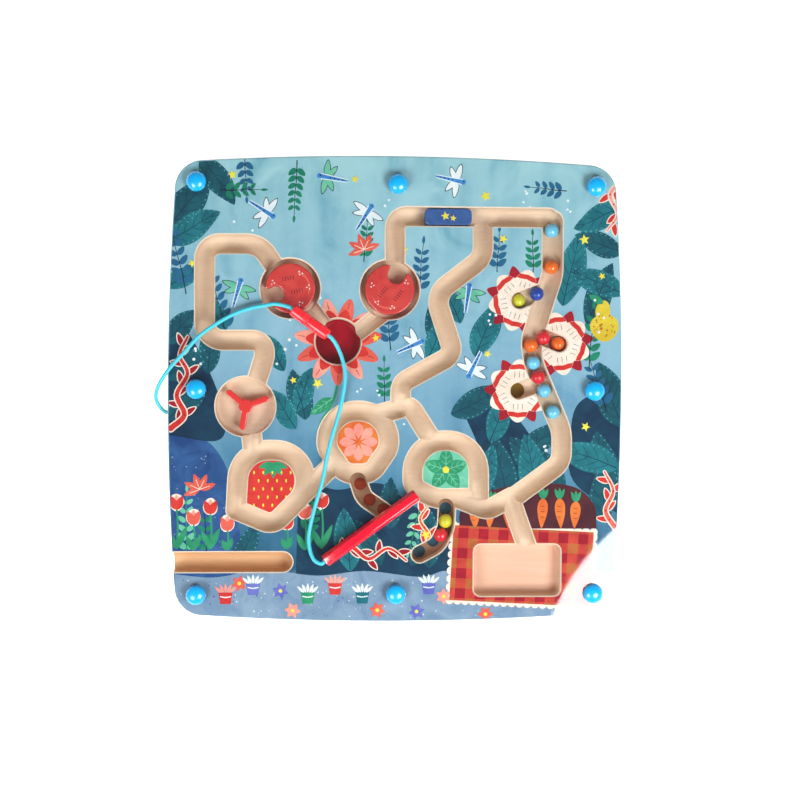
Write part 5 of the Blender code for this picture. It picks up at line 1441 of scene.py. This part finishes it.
plug_profile = [(0, -PLUG_PIN_LENGTH), (PLUG_PIN_TIP_RADIUS, -PLUG_PIN_LENGTH),
                (PLUG_PIN_RADIUS, -PLUG_PIN_CHAMFER_HEIGHT), (PLUG_PIN_RADIUS, 0),
                (clasp_radius - SEAM_ROUND, 0), (clasp_radius - SEAM_FACET, SEAM_FACET),
                (clasp_radius, SEAM_ROUND)]
plug_profile += [(radius, PLUG_LENGTH - z) for radius, z in reversed(end_round)]
plug_profile += [(bore, PLUG_LENGTH), (bore, PLUG_LENGTH - CLASP_BORE_DEPTH),
                 (0, PLUG_LENGTH - CLASP_BORE_DEPTH)]
for name, profile, start in (("socket", socket_profile, clasp_start),
                             ("plug", plug_profile, clasp_seam)):
    half = turned("red_clasp_" + name, profile, material=clasp_red)
    lay_along(half, start, clasp_axis)
    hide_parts("clasp_" + name)
    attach(half, "board" if name == "socket" else "tether")

# Pen. A six-sided wooden pen under thick glossy red lacquer, its edges rounded over and its ends
# chamfered. A small round magnet is let into its tip, and the cord enters its other end.
PEN_CHAMFER = 0.0009
MAGNET_BORE_RADIUS = 0.0024
MAGNET_BORE_DEPTH = 0.0056
MAGNET_BORE_STEPS = 32
PEN_EDGE_ROUND = 0.0008
PEN_EDGE_STEPS = 5
PEN_SHARP_ANGLE = radians(50)


def six_sided(radius, edge_round):
    """A hexagon with rounded corners."""
    points = []
    reach = radius - edge_round / cos(pi / 6)
    for index in range(6):
        heading = pi / 3 * index
        centre = (reach * cos(heading), reach * sin(heading))
        points += arc(centre, edge_round, heading - pi / 6, heading + pi / 6, PEN_EDGE_STEPS)
    return points


pen_radius = PEN_ACROSS_CORNERS / 2
pen_rings = []
for draw_in, z in ((1.0, 0), (0.35, 0.25), (0, 1.0)):
    pen_rings.append((six_sided(pen_radius - PEN_CHAMFER * draw_in, PEN_EDGE_ROUND), PEN_CHAMFER * z))
pen_rings += [(outline, PEN_LENGTH - z) for outline, z in reversed(pen_rings)]
pen = lofted("red_pen", stack(*zip(*pen_rings)), sharp=PEN_SHARP_ANGLE)
magnet_bore = rod(MAGNET_BORE_RADIUS, PEN_LENGTH - MAGNET_BORE_DEPTH, PEN_LENGTH + OVERRUN)
carved(pen, [turned("tool", magnet_bore, steps=MAGNET_BORE_STEPS)])
pen.data.materials.append(mottled("pen_lacquer", (232, 10, 42), (208, 0, 34), 120.0, 0.16, 2.0,
                                  relief=(0.08, 0.0006), coat=0.8))
lay_along(pen, pen_start, pen_axis)
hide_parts("pen_barrel")
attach(pen, "pen")

# Table and light. A wide white table, two soft boxes at the foot of the board, one of which is
# mirrored in the cover's lower right corner, and an even white room.
TABLE_HALF = 3
TABLE_DROP = 0.0002
WHITE = (1, 1, 1, 1)
bm = bmesh.new()
bmesh.ops.create_grid(bm, x_segments=1, y_segments=1, size=TABLE_HALF)
table = piece_from(bm, "table")
table.location.z = -TABLE_DROP
table_white, tree, shader = finish("table_white", 0.9)
path = add(tree, "LightPath")
glow = maths(tree, "MAXIMUM", path.outputs["Is Camera Ray"], path.outputs["Is Glossy Ray"])
feed(tree, shader, {"Base Color": (0.93, 0.93, 0.93, 1), "Emission Color": WHITE,
                    "Emission Strength": glow})
table.data.materials.append(table_white)

BOX_HEIGHT = 1.0
BOX_SIZE = 0.56
BOX_TILT = radians(38)
UP = Vector((0, 0, 1))
for name, edge, outward, power in (("soft_box_right", (0.313, -0.262), (0.793, -0.609), 13),
                                   ("soft_box_left", (-0.42, -0.40), (-0.72, -0.69), 11)):
    light = bpy.data.lights.new(name, "AREA")
    light.shape = "DISK"
    light.size = BOX_SIZE
    light.energy = power
    outward = Vector((*outward, 0)).normalized()
    down_out = outward * cos(BOX_TILT) - UP * sin(BOX_TILT)
    centre = Vector((*edge, BOX_HEIGHT)) + down_out * BOX_SIZE / 2
    back = outward.cross(UP).cross(down_out)
    back = (back if back.z > 0 else -back).normalized()
    axes = Matrix((down_out, back.cross(down_out), back)).transposed()
    shown(name, light).matrix_world = Matrix.Translation(centre) @ axes.to_4x4()

ROOM_LEVEL = 0.24
HORIZON = (0.3, 0.1)
world = bpy.data.worlds.new("white_room")
bpy.context.scene.world = world
world.use_nodes = True
tree = world.node_tree
path = add(tree, "LightPath")
seen = maths(tree, "MAXIMUM", path.outputs["Is Camera Ray"], path.outputs["Is Transmission Ray"])
rising = add(tree, "SeparateXYZ", {"Vector": add(tree, "TexCoord").outputs["Generated"]}).outputs["Z"]
mirrored = maths(tree, "MULTIPLY", ranged(tree, rising, *HORIZON), path.outputs["Is Glossy Ray"])
level = ranged(tree, maths(tree, "MAXIMUM", seen, mirrored), 0.0, 1.0, ROOM_LEVEL)
feed(tree, tree.nodes["Background"], {"Color": WHITE, "Strength": level})

# Camera. It looks down on the board from 0.9 m, a little to the left of its middle, as in the photo.
camera_data = bpy.data.cameras.new("camera")
camera = shown("camera", camera_data)
camera_data.sensor_width = 36
camera_data.lens = 60.45
camera.location = (-0.0449, 0.0191, 0.9)
camera.rotation_euler = (radians(-1.686), radians(-3.042), radians(0.323))
bpy.context.scene.camera = camera
bpy.context.scene.view_settings.view_transform = "Standard"
